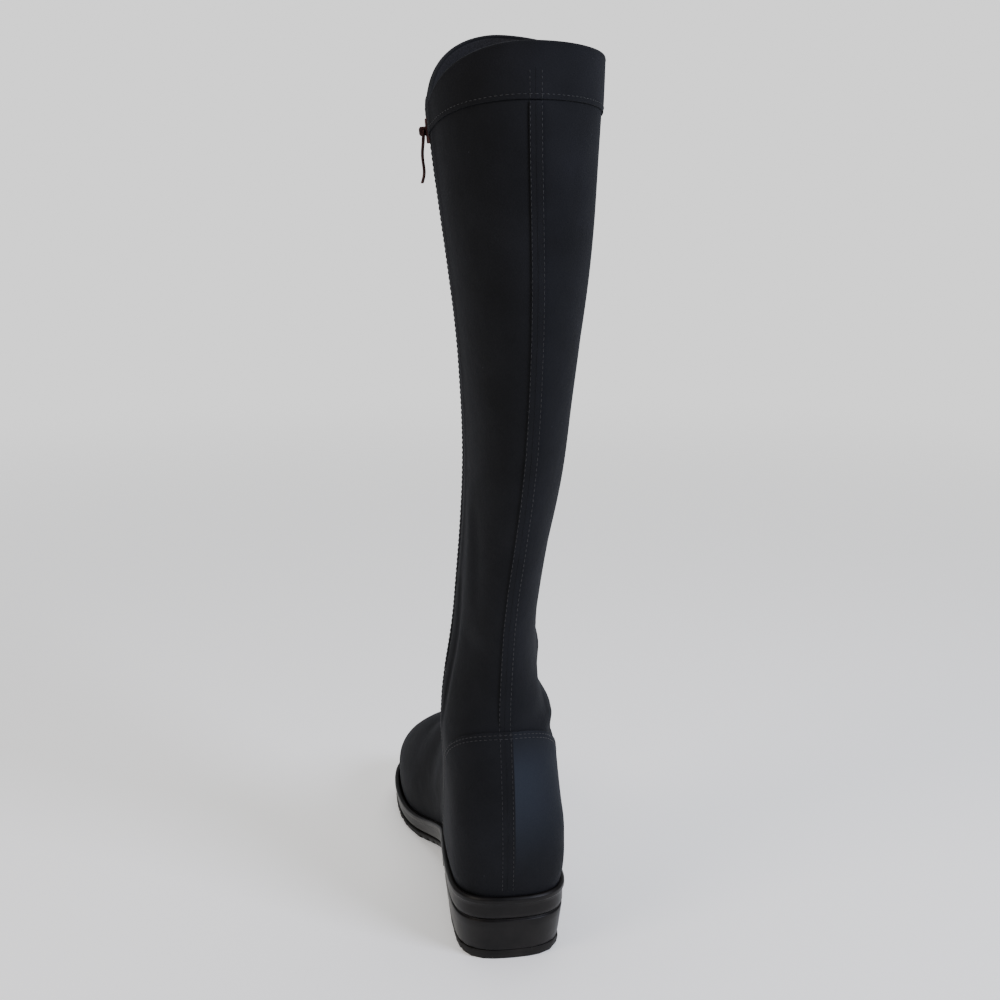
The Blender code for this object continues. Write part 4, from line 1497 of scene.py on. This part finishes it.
@dataclass
class RubberSole:
    """Side band, tread, heel and wearing piece, with the insole on top."""

    frame: dict[str, Any]
    palette: Palette
    crease: float = 0.78
    tread_round: float = 0.25 * MM

    def build(self) -> list[bpy.types.Object]:
        """Builds and dresses the sole.

        Returns:
            The pieces.
        """
        dress(self.frame["nodes"]["insole"], self.palette.lining)
        return [self.moulded("sole_rand", "sole_side_band"), self.moulded("heel_block", "heel_body"),
                self.ground("outsole"), self.ground("heel_top_piece")]

    def moulded(self, node: str, name: str) -> bpy.types.Object:
        """A sole part with a smooth outline and slightly rounded edges.

        Args:
            node: The node that it stands for.
            name: The piece's name.

        Returns:
            The piece.
        """
        mesh = refined(node_copy(self.frame["nodes"][node]), 2, crease_angle=35, crease=self.crease)
        return finished(name, mesh, [self.palette.rubber], Body.BOOT, [node], sharp=70)

    def ground(self, node: str) -> bpy.types.Object:
        """A tread part with its edges rounded.

        Args:
            node: The node that it stands for.

        Returns:
            The piece.
        """
        mesh = rounded(self.frame["nodes"][node], 1, 50, self.tread_round)
        return finished(node + "_tread", mesh, [self.palette.tread], Body.BOOT, [node], sharp=35)


@dataclass
class Studio:
    """Pale floor, soft lights and the camera at the photograph's angle."""

    azimuth: float = -9.4
    distance: float = 0.804
    height: float = 0.4543
    pitch: float = 13.6
    sideways: float = -0.0017
    lens: float = 54.6
    sensor: float = 36.0
    nearest: float = 0.05
    floor_size: float = 12.0
    light_aim: tuple[float, float, float] = (0.0, 0.03, 0.25)
    backdrop: float = 1.45
    ambient: float = 0.32

    def build(self) -> None:
        """Sets up floor, lights, world and camera."""
        self.floor()
        self.area("window", (0.95, -1.0, 1.1), 0.6, 26.0, "E6EAFF")
        self.area("fill", (-0.95, -0.5, 1.0), 0.5, 6.0, "FFF1E2")
        self.area("top", (0.1, 0.5, 1.7), 1.3, 16.0, "FFFFFF")
        self.world()
        self.camera()

    def floor(self) -> None:
        """The floor."""
        mesh = bmesh.new()
        bmesh.ops.create_grid(mesh, x_segments=1, y_segments=1, size=self.floor_size / 2)
        data = bpy.data.meshes.new("studio_floor")
        mesh.to_mesh(data)
        mesh.free()
        data.materials.append(PaintedFloor().material())
        floor = bpy.data.objects.new("studio_floor", data)
        bpy.context.scene.collection.objects.link(floor)

    def area(self, name: str, spot: tuple[float, float, float], size: float, watts: float,
             colour: str) -> None:
        """A square light that looks at the boot.

        Args:
            name: Its name.
            spot: Its place.
            size: Its side.
            watts: Its power.
            colour: Its sRGB hex colour.
        """
        data = bpy.data.lights.new(name, "AREA")
        data.size = size
        data.energy = watts
        data.color = linear(colour)[:3]
        lamp = bpy.data.objects.new(name, data)
        lamp.location = spot
        lamp.rotation_mode = "QUATERNION"
        lamp.rotation_quaternion = (Vector(self.light_aim) - lamp.location).to_track_quat("-Z", "Y")
        bpy.context.scene.collection.objects.link(lamp)

    def world(self) -> None:
        """White seen by the camera, softer light on the boot."""
        world = bpy.data.worlds.new("studio")
        world.use_nodes = True
        tree = world.node_tree
        tree.nodes.clear()
        path = add(tree, "ShaderNodeLightPath")
        seen = add(tree, "ShaderNodeBackground", Color=linear("F6F6F6"), Strength=self.backdrop)
        light = add(tree, "ShaderNodeBackground", Color=linear("F2F4FA"), Strength=self.ambient)
        mixed = add(tree, "ShaderNodeMixShader", n0=path.outputs["Is Camera Ray"], n1=light.outputs[0],
                    n2=seen.outputs[0])
        add(tree, "ShaderNodeOutputWorld", Surface=mixed.outputs[0])
        bpy.context.scene.world = world

    def camera(self) -> None:
        """The camera, behind the boot and a little to its inner side."""
        data = bpy.data.cameras.new("photo_angle")
        data.sensor_width = self.sensor
        data.lens = self.lens
        data.clip_start = self.nearest
        camera = bpy.data.objects.new("photo_angle", data)
        turn = math.radians(self.azimuth)
        camera.location = (math.sin(turn) * self.distance, -math.cos(turn) * self.distance, self.height)
        aside = math.atan2(self.sideways, self.distance)
        camera.rotation_euler = (math.radians(90 - self.pitch), 0.0, turn - aside)
        bpy.context.scene.collection.objects.link(camera)
        bpy.context.scene.camera = camera


def clear() -> None:
    """Removes what the scene starts with."""
    for thing in list(bpy.data.objects):
        bpy.data.objects.remove(thing)


def main() -> None:
    """Dresses the boot and sets up the studio."""
    logging.basicConfig(level=logging.INFO, format="%(name)s %(message)s")
    clear()
    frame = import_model()
    palette = Palette()
    upper = ClothUpper(frame, palette)
    cloth = upper.build()
    form = Form([evaluated(piece) for piece in cloth])
    stitching = Stitching(form, frame, palette, upper)
    pieces = cloth + stitching.build()
    pieces += SideZip(frame, palette, stitching).build()
    pieces += RubberSole(frame, palette).build()
    for piece in pieces:
        LOG.info("%s: %d faces", piece.name, len(piece.data.polygons))
    Studio().build()


if __name__ == "__main__":
    main()
